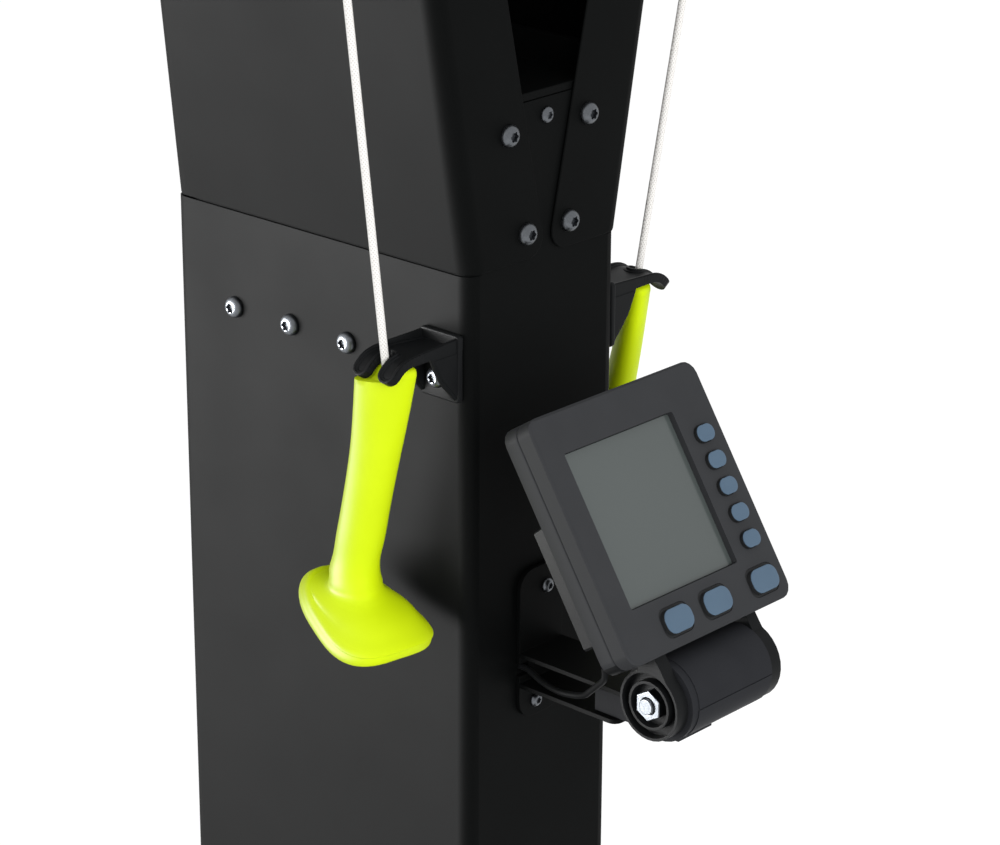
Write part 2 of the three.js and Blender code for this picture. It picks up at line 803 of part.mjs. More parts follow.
// Guard: a disc whose rings and spokes leave rows of curved slots
function fanGuard() {
  const y1 = front_y + housing_front - seat_gap;
  const y0 = y1 - guard_thickness;
  const disc = rodY(housing_radius, y0, y1, 0, fan_z, fine_steps);
  const inner = guard_hub_radius + guard_web;
  const pitch = (housing_radius - guard_rim - inner) / guard_ring_count;
  const slots = [];
  for (let ring = 0; ring < guard_ring_count; ring += 1) {
    const r0 = inner + ring * pitch;
    const r1 = r0 + pitch - guard_web;
    const angle = (2 * Math.PI) / guard_sector_count;
    for (let i = 0; i < guard_sector_count; i += 1) {
      const slot = new THREE.Shape();
      slot.absarc(0, 0, r1, guard_spoke / r1 / 2, angle - guard_spoke / r1 / 2, false);
      slot.absarc(0, 0, r0, angle - guard_spoke / r0 / 2, guard_spoke / r0 / 2, true);
      slot.closePath();
      slots.push(slotPrism(slot, y0, y1).rotateY(i * angle).translate(0, 0, fan_z));
    }
  }
  const boss = rodY(guard_hub_radius, y0 - damper_thickness - 2 * seat_gap, y1, 0, fan_z);
  const bore = rodY(axle_radius + 2 * seat_gap, y0 - cut_overrun * 2, y1 + cut_overrun, 0, fan_z);
  return cut(join(cut(disc, ...slots), boss), bore);
}

function slotPrism(shape, y0, y1) {
  return new THREE.ExtrudeGeometry(shape, {
    depth: y1 - y0 + 2 * cut_overrun, curveSegments: 1, bevelEnabled: false,
  }).rotateX(Math.PI / 2).translate(0, y1 + cut_overrun, 0);
}

// Damper: a slotted ring that turns on the guard's boss, with a lever that hangs into view
function damperRing() {
  const y1 = front_y + housing_front - seat_gap - guard_thickness - seat_gap;
  const y0 = y1 - damper_thickness;
  const outer = damper_inner_radius + damper_ring_width;
  const ring = new THREE.Shape();
  ring.absarc(0, 0, outer, 0, 2 * Math.PI, false);
  const slots = Array.from({ length: damper_slot_count }, (_, i) => {
    const slot = new THREE.Shape();
    const sweep = THREE.MathUtils.degToRad(damper_slot_deg);
    slot.absarc(0, 0, outer - guard_web * 2, 0, sweep, false);
    slot.absarc(0, 0, damper_inner_radius + guard_web, sweep, 0, true);
    slot.closePath();
    return slotPrism(slot, y0, y1).rotateY((i * 2 * Math.PI) / damper_slot_count);
  });
  const reach = -outer + guard_web - damper_lever_length / 2;
  const lever = roundedRect(damper_lever_width, damper_lever_length, damper_lever_width / 2, 0, reach);
  const tip = -outer + guard_web - damper_lever_length + damper_grip_length / 2;
  const grip = roundedRect(damper_grip_width, damper_grip_length, damper_grip_width / 2, 0, tip);
  const disc = new THREE.CylinderGeometry(outer, outer, y1 - y0, fine_steps).translate(0, (y0 + y1) / 2, 0);
  const hole = rodY(guard_hub_radius + seat_gap, y0 - cut_overrun, y1 + cut_overrun, 0, 0);
  return join(
    cut(disc, hole, ...slots),
    frontPrism(lever, y0, y1),
    frontPrism(grip, y0 - damper_thickness, y1),
  ).translate(0, 0, fan_z);
}

// Housing: an open cup with a spoked intake at the back and lugs that reach the arms
function fanHousing() {
  const y0 = front_y + housing_front;
  const y1 = y0 + housing_depth;
  const inner = housing_radius - housing_wall;
  const cup = cut(
    rodY(housing_radius, y0, y1, 0, fan_z, fine_steps),
    rodY(inner, y0 - cut_overrun, y1 - housing_wall, 0, fan_z, fine_steps),
    rodY(intake_radius, y1 - housing_wall - cut_overrun, y1 + cut_overrun, 0, fan_z, fine_steps),
  );
  const boss = rodY(hub_boss_radius, y1 - bearing_width - housing_wall, y1, 0, fan_z);
  const spokes = Array.from({ length: spoke_count }, (_, i) => (
    box(0, intake_radius + housing_wall, y1 - housing_wall, y1, -spoke_width / 2, spoke_width / 2)
      .rotateY(((i + 0.5) * 2 * Math.PI) / spoke_count).translate(0, 0, fan_z)
  ));
  const mid_y = (y0 + y1) / 2;
  const lug = (side) => {
    const [z0, z1] = [fan_z - housing_lug_height / 2, fan_z + housing_lug_height / 2];
    const face = (z) => side * (armHalfWidth(z) - arm_sheet - seat_gap);
    const root = side * (inner + housing_wall / 2);
    const shape = outline([[root, z0], [face(z0), z0], [face(z1), z1], [root, z1]]);
    return frontPrism(shape, mid_y - housing_lug_depth / 2, mid_y + housing_lug_depth / 2);
  };
  const shell = join(cup, boss, ...spokes, lug(-1), lug(1));
  return cut(
    shell,
    rodY(inner - housing_wall, y0 - cut_overrun, y0 + housing_wall, 0, fan_z, fine_steps),
    rodY(bearing_radius + seat_gap, y1 - bearing_width - housing_wall - cut_overrun, y1 - housing_wall, 0, fan_z),
    rodY(axle_radius + seat_gap, y1 - housing_wall - cut_overrun, y1 + cut_overrun, 0, fan_z),
  );
}

// Fan: swept blades between a back plate and a front ring, on a hub
function fanWheel() {
  const y0 = front_y + housing_front + fan_clearance;
  const y1 = front_y + housing_front + housing_depth - housing_wall - bearing_width - fan_clearance;
  const back = rodY(fan_radius, y1 - fan_plate_thickness, y1, 0, fan_z, fine_steps);
  const ring = turnedY([
    [fan_blade_root, 0], [fan_radius, 0], [fan_radius, fan_plate_thickness / 2],
    [fan_blade_root, fan_plate_thickness / 2], [fan_blade_root, 0],
  ], 0, y0, fan_z);
  const blades = Array.from({ length: fan_blade_count }, (_, i) => (
    box(fan_blade_root, fan_radius - fan_blade_thickness, y0, y1 - fan_plate_thickness / 2,
      -fan_blade_thickness / 2, fan_blade_thickness / 2)
      .translate(-fan_blade_root, 0, 0)
      .rotateY(THREE.MathUtils.degToRad(fan_blade_sweep_deg))
      .translate(fan_blade_root + fan_blade_thickness / 2, 0, 0)
      .rotateY((i * 2 * Math.PI) / fan_blade_count)
      .translate(0, 0, fan_z)
  ));
  const hub = rodY(fan_hub_radius, y0 + fan_clearance, y1, 0, fan_z);
  const bore = rodY(axle_radius + seat_gap, y0 - cut_overrun, y1 + cut_overrun, 0, fan_z);
  return cut(join(back, ring, hub, ...blades), bore);
}

function addFanDrive() {
  const bridge_back = axle_start_y + bridge_thickness;
  const housing_back = front_y + housing_front + housing_depth;
  add('fan_bridge', frontBridge(), black_steel);
  add('bearing_front', ballBearing(bridge_back + seat_gap), bright_zinc);
  add('bearing_rear', ballBearing(housing_back - housing_wall - bearing_width - seat_gap), bright_zinc);
  add('fan_axle', rodY(axle_radius, axle_start_y, housing_back, 0, fan_z), bright_zinc);
  add('drum_left', cordDrum(drum_start_y), black_plastic);
  add('drum_right', cordDrum(drum_start_y + drum_width + drum_gap), black_plastic);
  add('damper_ring', damperRing(), black_plastic);
  add('fan_guard', fanGuard(), black_steel);
  add('fan_housing', fanHousing(), black_steel);
  add('fan_wheel', fanWheel(), grey_aluminium);
}

// The cord leaves the handle leaning out and forward, and touches its pulley on the outer side
const cordPoint = (rise) => new THREE.Vector3(
  holder_cord_offset + cord_lean_out_share * rise,
  holder_y - cord_lean_front_share * rise,
  cord_foot_z + rise,
);
const pulleyTouch = cordPoint(pulley_rise - cord_foot_z);
const pulleyCentre = new THREE.Vector3(
  pulleyTouch.x - pulley_pitch_radius * Math.cos(cord_lean),
  pulleyTouch.y,
  pulleyTouch.z + pulley_pitch_radius * Math.sin(cord_lean),
);

const head_width = 2 * (pulleyCentre.x + head_side_room);

// Where an inner cord leaves its pulley and meets its drum, on the machine's right, as angles and places
function innerCordRun() {
  const drum_reach = drum_radius + cord_diameter / 2 + seat_gap;
  const drop = new THREE.Vector2(pulleyCentre.x, pulleyCentre.z - fan_z);
  const gap = pulley_pitch_radius - drum_reach;
  const tilt = Math.atan2(drop.y, drop.x) + Math.acos(gap / drop.length());
  const out = new THREE.Vector2(Math.cos(tilt), Math.sin(tilt));
  const start = out.clone().multiplyScalar(pulley_pitch_radius).add(new THREE.Vector2(pulleyCentre.x, pulleyCentre.z));
  const end = out.clone().multiplyScalar(drum_reach).add(new THREE.Vector2(0, fan_z));
  return { tilt, start, end };
}

// Head: base plate with an upright web that carries both pulleys
function headFrame() {
  const z0 = arm_top + seat_gap;
  const [y0, y1] = [front_y - head_front + head_plate_margin, armBack(arm_top) - head_plate_margin];
  const half = head_width / 2 - head_plate_margin;
  const plate = roundedRect(2 * half, y1 - y0, head_plate_corner, 0, (y0 + y1) / 2);
  const web_half = half - head_web_side_margin;
  const web_y = front_y + head_web_set_back;
  const web_z = head_plate_top + head_web_height / 2;
  const web = roundedRect(2 * web_half, head_web_height + head_plate, column_corner, 0, web_z - head_plate / 2);
  const opening_depth = head_opening_front + head_opening_back;
  const opening_y = front_y + (head_opening_back - head_opening_front) / 2;
  const { start, end } = innerCordRun();
  const crossing = THREE.MathUtils.mapLinear(head_plate_top, end.y, start.y, end.x, start.x);
  const opening_half = crossing + head_opening_cord_room;
  const opening = roundedRect(2 * opening_half, opening_depth, column_corner, 0, opening_y);
  const exit = cordPoint(z0 - cord_foot_z);
  const exits = [-1, 1].map((side) => (
    rodZ(cord_exit_radius, z0 - cut_overrun, head_plate_top + cut_overrun, side * exit.x, exit.y)
  ));
  const passages = cordDrums.map(([, side, drum_y]) => (
    sweptTube(innerCord(side, drum_y).slice(-2), cord_diameter + 2 * head_cord_room, arc_steps)
  ));
  const pins = [-1, 1].map((side) => (
    rodY(pulley_axle_radius + seat_gap, web_y - cut_overrun, web_y + head_web_thickness + cut_overrun,
      side * pulleyCentre.x, pulleyCentre.z)
  ));
  return cut(
    join(
      cut(floorPrism(plate, z0, head_plate_top), floorPrism(opening, z0 - cut_overrun, head_plate_top + cut_overrun)),
      frontPrism(web, web_y, web_y + head_web_thickness),
    ),
    ...exits,
    ...passages,
    ...pins,
  );
}

// Head cover: a moulded shell with rounded ends, open below
function headCover() {
  const z0 = head_plate_top + seat_gap;
  const [y0, y1] = [front_y - head_front, armBack(arm_top)];
  const height = head_top - z0;
  const skin = (inset) => {
    const half = head_width / 2 - inset;
    const top = head_top - inset;
    const r = head_corner - inset;
    const shape = new THREE.Shape();
    const base = z0 - cut_overrun - head_edge_bevel;
    shape.moveTo(-half, base);
    shape.lineTo(half, base);
    shape.absarc(half - r, top - r, r, 0, Math.PI / 2, false);
    shape.absarc(r - half, top - r, r, Math.PI / 2, Math.PI, false);
    shape.closePath();
    return shape;
  };
  const outer = frontPrism(skin(0), y0, y1, head_edge_bevel);
  const lowest = box(-head_width, head_width, y0 - height, y1 + height, z0, head_top + height);
  return cut(common(outer, lowest), frontPrism(skin(head_wall), y0 + head_wall, y1 - head_wall, head_edge_bevel));
}

function cordPulley() {
  const rim = pulley_pitch_radius + pulley_flange;
  const bottom = pulley_pitch_radius - cord_diameter / 2 - seat_gap;
  const [half, groove] = [pulley_width / 2, pulley_groove_width / 2];
  const bore = pulley_axle_radius + seat_gap;
  return turnedY([
    [bore, -half], [rim, -half], [rim, pulley_rim_width - half], [bottom, -groove], [bottom, groove],
    [rim, half - pulley_rim_width], [rim, half], [bore, half], [bore, -half],
  ], 0, 0, 0, pulley_steps);
}

function pulleyAxle() {
  const front = pulleyCentre.y - pulley_width / 2 - seat_gap;
  const web_back = front_y + head_web_set_back + head_web_thickness;
  const end = web_back + seat_gap + pulley_nut_length;
  return turnedY([
    [0, -pulley_axle_head], [pulley_axle_head_radius, -pulley_axle_head], [pulley_axle_head_radius, 0],
    [pulley_axle_radius, 0], [pulley_axle_radius, web_back + seat_gap - front],
    [pulley_axle_head_radius, web_back + seat_gap - front], [pulley_axle_head_radius, end - front], [0, end - front],
  ], 0, front, 0, round_steps);
}

// The drum that each inner cord winds on: machine side and the drum's middle
const cordDrums = [
  ['left', -1, drum_start_y + drum_width / 2],
  ['right', 1, drum_start_y + drum_width + drum_gap + drum_width / 2],
];

// Inner cord: over the pulley and down to the top of its drum
function innerCord(side, drum_y) {
  const { tilt, end } = innerCordRun();
  const start = -cord_lean;
  const points = Array.from({ length: round_steps / 2 + 1 }, (_, i) => {
    const a = start + ((tilt - start) * i) / (round_steps / 2);
    return new THREE.Vector3(
      side * (pulleyCentre.x + pulley_pitch_radius * Math.cos(a)),
      pulleyCentre.y,
      pulleyCentre.z + pulley_pitch_radius * Math.sin(a),
    );
  });
  return [...points, new THREE.Vector3(side * end.x, drum_y, end.y)];
}

function addHead() {
  add('head_frame', headFrame(), black_steel);
  add('head_cover', headCover(), black_plastic);
  for (const [name, side] of [['left', -1], ['right', 1]]) {
    const hub = new THREE.Vector3(side * pulleyCentre.x, pulleyCentre.y, pulleyCentre.z);
    add(`pulley_${name}`, cordPulley(), black_plastic).position.copy(hub);
    add(`pulley_axle_${name}`, pulleyAxle(), bright_zinc).position.set(hub.x, 0, hub.z);
  }
}

// Drive cords: the free stretch from the pulley down to the handle
function addCords() {
  const top = cordPoint(pulleyTouch.z - cord_foot_z - cord_end_gap);
  const bottom = cordPoint(cord_end_gap);
  for (const [name, side] of [['left', -1], ['right', 1]]) {
    const ends = [bottom, top].map((p) => new THREE.Vector3(side * p.x, p.y, p.z));
    const line = new THREE.LineCurve3(...ends);
    add(`cord_${name}`, tube(line, cord_diameter, 1, arc_steps), white_cord);
  }
}

// Handle for the machine's right side: round at the top, slimmer and set back below, flared into a tilted
// end plate that sags at its sides, tapers to the back and is turned a little about the grip
function gripSection([down, back, wide, deep, turn]) {
  const tilt = THREE.MathUtils.degToRad(handle_plate_tilt_deg) * turn;
  const swing = THREE.MathUtils.degToRad(handle_plate_turn_deg) * turn;
  const power = 2 / THREE.MathUtils.lerp(2, handle_plate_squareness, turn);
  const [, , widest, deepest] = grip_shares[grip_widest_row];
  const half_width = handle_top_radius * wide;
  const half_depth = handle_top_radius * deep;
  const across = THREE.MathUtils.lerp(half_width, (handle_plate_half_width * wide) / widest, turn);
  const along = THREE.MathUtils.lerp(half_depth, (handle_plate_half_depth * deep) / deepest, turn);
  return Array.from({ length: grip_steps }, (_, i) => {
    const a = (i * 2 * Math.PI) / grip_steps;
    const [c, s] = [Math.cos(a), Math.sin(a)];
    const v = Math.sign(s) * Math.abs(s) ** power;
    const u = Math.sign(c) * Math.abs(c) ** power * (1 - handle_plate_taper_share * turn * v);
    const [x, y] = [across * u * Math.cos(swing) - along * v * Math.sin(swing),
      across * u * Math.sin(swing) + along * v * Math.cos(swing)];
    const sag = handle_plate_sag * turn * (x / handle_plate_half_width) ** 2;
    return [
      holder_cord_offset + x,
      holder_y + handle_set_back * back + y * Math.cos(tilt) + sag * Math.sin(tilt),
      cord_foot_z - handle_length * down + y * Math.sin(tilt) - sag * Math.cos(tilt),
    ];
  });
}

// The holder's fingers: places of their bend, underside and tip
const finger_tip_x = half_column + holder_reach;
const finger_tip_z = seam_height - holder_top_drop - holder_tip_drop;
const finger_under_z = seam_height - holder_top_drop - holder_rim_height - holder_floor_thickness;
const finger_bend_share = 0.66;
const finger_bend_x = half_column + holder_reach * finger_bend_share;
const finger_round = holder_floor_thickness * 2;

// Room for the fingers in the handle's top: below their underside, open above and outward
function fingerRoom() {
  const gap = holder_grip_gap;
  const floor = finger_tip_z - holder_rim_height - gap;
  const far = finger_tip_x + holder_reach;
  const shape = new THREE.Shape();
  shape.moveTo(finger_bend_x, finger_under_z - gap);
  shape.quadraticCurveTo(finger_tip_x - finger_round - holder_rim_height, finger_under_z - gap,
    finger_tip_x - holder_floor_thickness - holder_rim_height - gap, finger_tip_z);
  shape.lineTo(finger_tip_x - holder_floor_thickness - gap, floor);
  shape.lineTo(far, floor);
  shape.lineTo(far, finger_under_z + holder_floor_thickness);
  shape.lineTo(finger_bend_x, finger_under_z + holder_floor_thickness);
  shape.closePath();
  return shape;
}

function rightHandle() {
  const near = holder_slot_width / 2 - holder_grip_gap;
  const far = holder_width / 2 + holder_grip_gap;
  const rooms = [[-far, -near], [near, far]].map(([a, b]) => (
    frontPrism(fingerRoom(), holder_y + a, holder_y + b)
  ));
  return cut(loft(grip_shares.map(gripSection)), ...rooms);
}

// Holder for the machine's right side: a forked arm with raised rims, two gussets and a base plate
function holderOutline(drop) {
  const top_z = seam_height - holder_top_drop - drop;
  const [tip_x, tip_z, bend_x, under_z] = [finger_tip_x, finger_tip_z, finger_bend_x, finger_under_z];
  const shape = new THREE.Shape();
  shape.moveTo(half_column + seat_gap, top_z);
  shape.lineTo(bend_x, top_z);
  shape.quadraticCurveTo(tip_x - finger_round, top_z, tip_x - drop, tip_z + holder_rim_height);
  shape.quadraticCurveTo(tip_x - holder_rim_height, tip_z - holder_rim_height,
    tip_x - holder_floor_thickness - holder_rim_height, tip_z + holder_rim_height / 2);
  shape.quadraticCurveTo(tip_x - finger_round - holder_rim_height, under_z, bend_x, under_z);
  shape.lineTo(half_column + seat_gap, under_z);
  shape.closePath();
  return shape;
}

function gussetOutline() {
  const wall_x = half_column + seat_gap;
  const under_z = seam_height - holder_top_drop - holder_rim_height - holder_floor_thickness / 2;
  const bottom = seam_height - holder_top_drop - holder_plate_height + holder_plate_bevel * 2;
  const shape = new THREE.Shape();
  shape.moveTo(wall_x, bottom);
  shape.lineTo(wall_x + holder_plate_thickness + holder_plate_bevel, bottom);
  shape.lineTo(wall_x + holder_gusset_reach - holder_plate_thickness, under_z - holder_floor_thickness);
  shape.quadraticCurveTo(wall_x + holder_gusset_reach, under_z - holder_rim_height / 2,
    wall_x + holder_gusset_reach + holder_floor_thickness, under_z);
  shape.lineTo(wall_x, under_z);
  shape.closePath();
  return shape;
}

function rightHolder() {
  const [y0, y1] = [holder_y - holder_width / 2, holder_y + holder_width / 2];
  const plate_x = half_column + seat_gap;
  const mid_z = seam_height - holder_top_drop - holder_plate_height / 2;
  const plate = roundedRect(holder_width + 2 * holder_plate_bevel, holder_plate_height, holder_rim_width, holder_y, mid_z);
  const ridge = holder_slot_width / 2;
  const rims = [
    [y0, y0 + holder_rim_width], [y1 - holder_rim_width, y1],
    [holder_y - ridge - holder_inner_rim_width, holder_y - ridge],
    [holder_y + ridge, holder_y + ridge + holder_inner_rim_width],
  ].map(([a, b]) => frontPrism(holderOutline(0), a, b));
  const gussets = [[y0, y0 + holder_rim_width], [y1 - holder_rim_width, y1]].map(([a, b]) => (
    frontPrism(gussetOutline(), a, b)
  ));
  const fork_root = holder_cord_offset - holder_hole_radius;
  const low = seam_height - holder_top_drop - holder_plate_height;
  const high = seam_height - holder_top_drop + cut_overrun;
  const far = half_column + holder_reach + cut_overrun;
  const channel = box(plate_x + holder_plate_thickness, fork_root - holder_rim_width * 2,
    holder_y - ridge - holder_inner_rim_width, holder_y + ridge + holder_inner_rim_width,
    seam_height - holder_top_drop - holder_rim_height, high);
  const grip_room = cut(
    rodZ(handle_top_radius + holder_grip_gap, low, cord_foot_z + holder_grip_gap, holder_cord_offset, holder_y,
      fine_steps),
    box(holder_cord_offset, far, -stand_depth, stand_depth, low - cut_overrun, high),
  );
  return cut(
    join(
      sidePrism(plate, plate_x, plate_x + holder_plate_thickness, holder_plate_bevel),
      frontPrism(holderOutline(holder_rim_height), y0, y1),
      ...rims,
      ...gussets,
    ),
    grip_room,
    channel,
    box(fork_root, far, holder_y - ridge, holder_y + ridge, low, high),
    rodZ(holder_hole_radius, low + holder_plate_height / 2, high, fork_root, holder_y, round_steps / 2),
  );
}

// Monitor bracket: a wall plate with two shelves folded forward, notched where the cable comes out
function monitorBracket() {
  const wall_y = front_y - seat_gap;
  const [top, bottom] = [seam_height - bracket_top_drop, seam_height - bracket_bottom_drop];
  const plate = roundedRect(bracket_width, top - bottom, bracket_corner, bracket_middle, (top + bottom) / 2);
  const upper_z = seam_height - upper_flange_drop;
  const lower_z = seam_height - lower_flange_drop;
  const upper_reach = pivot_forward - barrelHalfChord(upper_flange_drop) - seat_gap;
  const shelf = (reach) => roundedRect(bracket_width, reach + bracket_corner, bracket_corner / 2,
    bracket_middle, front_y - (reach - bracket_corner) / 2);
  const wall = [front_y - seat_gap, front_y + bracket_corner * 2];
  const notch_z = seam_height - (upper_flange_drop + bracket_sheet + lower_flange_drop) / 2;
  const left = bracket_middle - bracket_width / 2;
  return cut(
    join(
      frontPrism(plate, wall_y - bracket_sheet, wall_y),
      floorPrism(shelf(upper_reach), upper_z - bracket_sheet, upper_z),
      floorPrism(shelf(lower_flange_reach), lower_z - bracket_sheet, lower_z),
    ),
    box(left - cut_overrun, -left + bracket_width, ...wall, bottom - cut_overrun, top + cut_overrun),
    box(left - cut_overrun, left + cable_notch_depth, wall_y - bracket_sheet - cut_overrun, wall_y + cut_overrun,
      notch_z - cable_notch_height / 2, notch_z + cable_notch_height / 2),
  );
}

// Half the barrel's chord at a drop below the seam
function barrelHalfChord(drop) {
  return Math.sqrt(barrel_radius ** 2 - (drop - pivot_drop) ** 2);
}

// Pivot barrel: a moulded tube with a seam along it and a saddle block held between the shelves
function pivotBarrel() {
  const [x0, x1] = [barrel_middle - barrel_length / 2, barrel_middle + barrel_length / 2];
  const saddle_top = seam_height - upper_flange_drop - bracket_sheet - seat_gap;
  const saddle_bottom = seam_height - lower_flange_drop + seat_gap;
  const half = bracket_width / 2 - saddle_side_margin;
  const ring = cut(
    rodX(barrel_radius + barrel_step_depth, x0 + barrel_step, x0 + 2 * barrel_step, pivot_y, pivot_z, fine_steps),
    rodX(barrel_radius - barrel_seam_depth, x0, x0 + 3 * barrel_step, pivot_y, pivot_z, fine_steps),
  );
  const groove = box(x0 + 2 * barrel_step, x1 + cut_overrun, -barrel_seam_depth, barrel_seam_depth,
    -barrel_seam_width / 2, barrel_seam_width / 2);
  return cut(
    join(
      rodX(barrel_radius, x0, x1, pivot_y, pivot_z, fine_steps),
      box(bracket_middle - half, bracket_middle + half, pivot_y, pivot_y + barrel_radius + saddle_depth,
        saddle_bottom, saddle_top),
    ),
    cut(ring, box(x0 - cut_overrun, x1, pivot_y, pivot_y + barrel_radius * 2, pivot_z - barrel_radius * 2, pivot_z)),
    groove.translate(0, pivot_y - barrel_radius, pivot_z),
    rodX(pivot_bolt_radius + seat_gap, x0 - cut_overrun, x1 + cut_overrun, pivot_y, pivot_z),
  );
}

function hexagon(width, x0, x1) {
  return rodX(width / 2 / Math.cos(Math.PI / hexagon_sides), x0, x1, 0, 0, hexagon_sides);
}

// The pivot bolt's head sits in the right ear and its nut in the left one
function addPivotBolt() {
  const left_face = barrel_middle - barrel_length / 2 - seat_gap - ear_left_thickness + ear_recess;
  const right_face = barrel_middle + barrel_length / 2 + seat_gap + ear_right_thickness - ear_recess / 2;
  const nut_start = left_face - seat_gap - pivot_nut_length;
  const shank = rodX(pivot_bolt_radius, nut_start - pivot_bolt_tail, right_face + seat_gap * 2, 0, 0);
  const head = hexagon(pivot_nut_width, right_face + seat_gap, right_face + seat_gap + pivot_nut_length);
  const nut = cut(
    hexagon(pivot_nut_width, nut_start, nut_start + pivot_nut_length),
    rodX(pivot_bolt_radius + seat_gap, nut_start - cut_overrun, nut_start + pivot_nut_length + cut_overrun, 0, 0),
  );
  add('pivot_bolt', join(shank, head).translate(0, pivot_y, pivot_z), bright_zinc);
  add('pivot_nut', nut.translate(0, pivot_y, pivot_z), bright_zinc);
}

// Monitor, drawn upright about the pivot axis and then leaned back
const monitor_bottom = monitor_bottom_rise;
const monitor_top = monitor_bottom_rise + monitor_height;
const monitor_face = -monitor_face_forward;
const window_x = -monitor_width / 2 + window_left + window_width / 2;
const window_z = monitor_top - window_top - window_height / 2;

function buttonPlaces() {
  const side = Array.from({ length: side_button_count }, (_, i) => ({
    name: `side_button_${i + 1}`,
    x: monitor_width / 2 - side_button_inset,
    z: monitor_top - side_button_top - i * side_button_pitch,
    width: side_button_width,
    height: side_button_height,
  }));
  const bottom = bottom_button_insets.map((inset, i) => ({
    name: `bottom_button_${i + 1}`,
    x: -monitor_width / 2 + inset,
    z: monitor_top - bottom_button_drop,
    width: bottom_button_width,
    height: bottom_button_height,
  }));
  return [...side, ...bottom];
}

function monitorFront() {
  const mid_z = (monitor_bottom + monitor_top) / 2;
  const split = monitor_face + monitor_split_depth;
  const block = frontPrism(roundedRect(monitor_width, monitor_height, monitor_corner, 0, mid_z),
    monitor_face, split + monitor_edge_bevel, monitor_edge_bevel);
  const behind = box(-monitor_width, monitor_width, split, split + monitor_depth, monitor_bottom - cut_overrun,
    monitor_top + cut_overrun);
  const cavity = roundedRect(monitor_width - 2 * monitor_wall, monitor_height - 2 * monitor_wall,
    monitor_corner - monitor_wall, 0, mid_z);
  const pane_back = monitor_face + window_recess + window_glass + seat_gap + monitor_wall;
  const window = roundedRect(window_width, window_height, monitor_edge_bevel, window_x, window_z);
  const pockets = buttonPlaces().map(({ x, z, width, height }) => (
    frontPrism(roundedRect(width + 2 * button_gap, height + 2 * button_gap, button_corner + button_gap, x, z),
      monitor_face - cut_overrun, monitor_face + button_length)
  ));
  return cut(
    block,
    behind,
    frontPrism(cavity, pane_back, split + cut_overrun),
    frontPrism(window, monitor_face - cut_overrun, monitor_face + window_recess + window_glass + seat_gap),
    ...pockets,
  );
}

// Rear case: closes the front shell, is boxed out behind, clears the barrel and carries the two pivot ears
function monitorRear() {
  const mid_z = (monitor_bottom + monitor_top) / 2;
  const split = monitor_face + monitor_split_depth + seat_gap;
  const back = monitor_face + monitor_depth;
  const case_shape = roundedRect(monitor_width, monitor_height, monitor_corner, 0, mid_z);
  const hollow = roundedRect(monitor_width - 2 * monitor_wall, monitor_height - 2 * monitor_wall,
    monitor_corner - monitor_wall, 0, mid_z);
  const wedge_bottom = monitor_bottom + monitor_bulge_bottom;
  const half = monitor_width / 2 - monitor_bulge_inset;
  const wedge = outline([
    [back - monitor_wall, wedge_bottom], [back + monitor_bulge, wedge_bottom],
    [back + monitor_bulge, wedge_bottom + monitor_bulge_height - monitor_bulge_slope],
    [back - monitor_wall, wedge_bottom + monitor_bulge_height],
  ]);
  const x0 = barrel_middle - barrel_length / 2 - seat_gap;
  const x1 = barrel_middle + barrel_length / 2 + seat_gap;
  const neck_top = monitor_bottom - seat_gap;
  const neck = outline([
    [-ear_radius + ear_neck_margin, 0], [0, 0], [back - monitor_edge_bevel, monitor_bottom + monitor_wall],
    [split, monitor_bottom + monitor_wall], [split, neck_top], [back - ear_neck_depth, neck_top],
  ]);
  const ears = [
    [ear_radius, x0 - ear_left_thickness, x0],
    [ear_right_radius, x1, x1 + ear_right_thickness],
  ].flatMap(([radius, a, b]) => [rodX(radius, a, b, 0, 0, fine_steps), sidePrism(neck, a, b)]);
  const left = x0 - ear_left_thickness;
  const recess = cut(
    rodX(ear_radius - ear_rim, left - cut_overrun, left + ear_recess, 0, 0, fine_steps),
    cut(
      rodX(ear_inner_ring_radius, left - seat_gap, left + ear_recess + cut_overrun, 0, 0, fine_steps),
      rodX(ear_inner_ring_radius - ear_inner_ring_wall, left - cut_overrun, left + ear_recess + 2 * cut_overrun, 0, 0),
    ),
  );
  const right = x1 + ear_right_thickness;
  return cut(
    join(
      frontPrism(case_shape, split, back, monitor_edge_bevel),
      sidePrism(wedge, -half, half, monitor_edge_bevel),
      ...ears,
    ),
    frontPrism(hollow, split - cut_overrun, back - monitor_wall),
    rodX(barrel_radius + barrel_step_depth + seat_gap, x0, x1, 0, 0, fine_steps),
    recess,
    rodX(ear_inner_ring_radius - ear_inner_ring_wall, right - ear_recess / 2, right + cut_overrun, 0, 0),
    rodX(pivot_bolt_radius + seat_gap, left - cut_overrun, right + cut_overrun, 0, 0),
  );
}

function addMonitor() {
  const lean = new THREE.Group();
  lean.position.set(0, pivot_y, pivot_z);
  lean.rotation.x = -THREE.MathUtils.degToRad(monitor_lean_deg);
  machine.add(lean);
  add('monitor_front', monitorFront(), monitor_plastic, lean);
  add('monitor_rear', monitorRear(), monitor_plastic, lean);
  const pane = roundedRect(window_width - 2 * seat_gap, window_height - 2 * seat_gap, monitor_edge_bevel,
    window_x, window_z);
  add('lcd_window', frontPrism(pane, monitor_face + window_recess, monitor_face + window_recess + window_glass),
    lcd_glass, lean);
  for (const { name, x, z, width, height } of buttonPlaces()) {
    const cap = roundedRect(width, height, button_corner, x, z);
    const back = monitor_face + button_length - button_travel - seat_gap;
    add(name, frontPrism(cap, monitor_face - button_proud, back, button_gap), button_rubber, lean);
  }
}

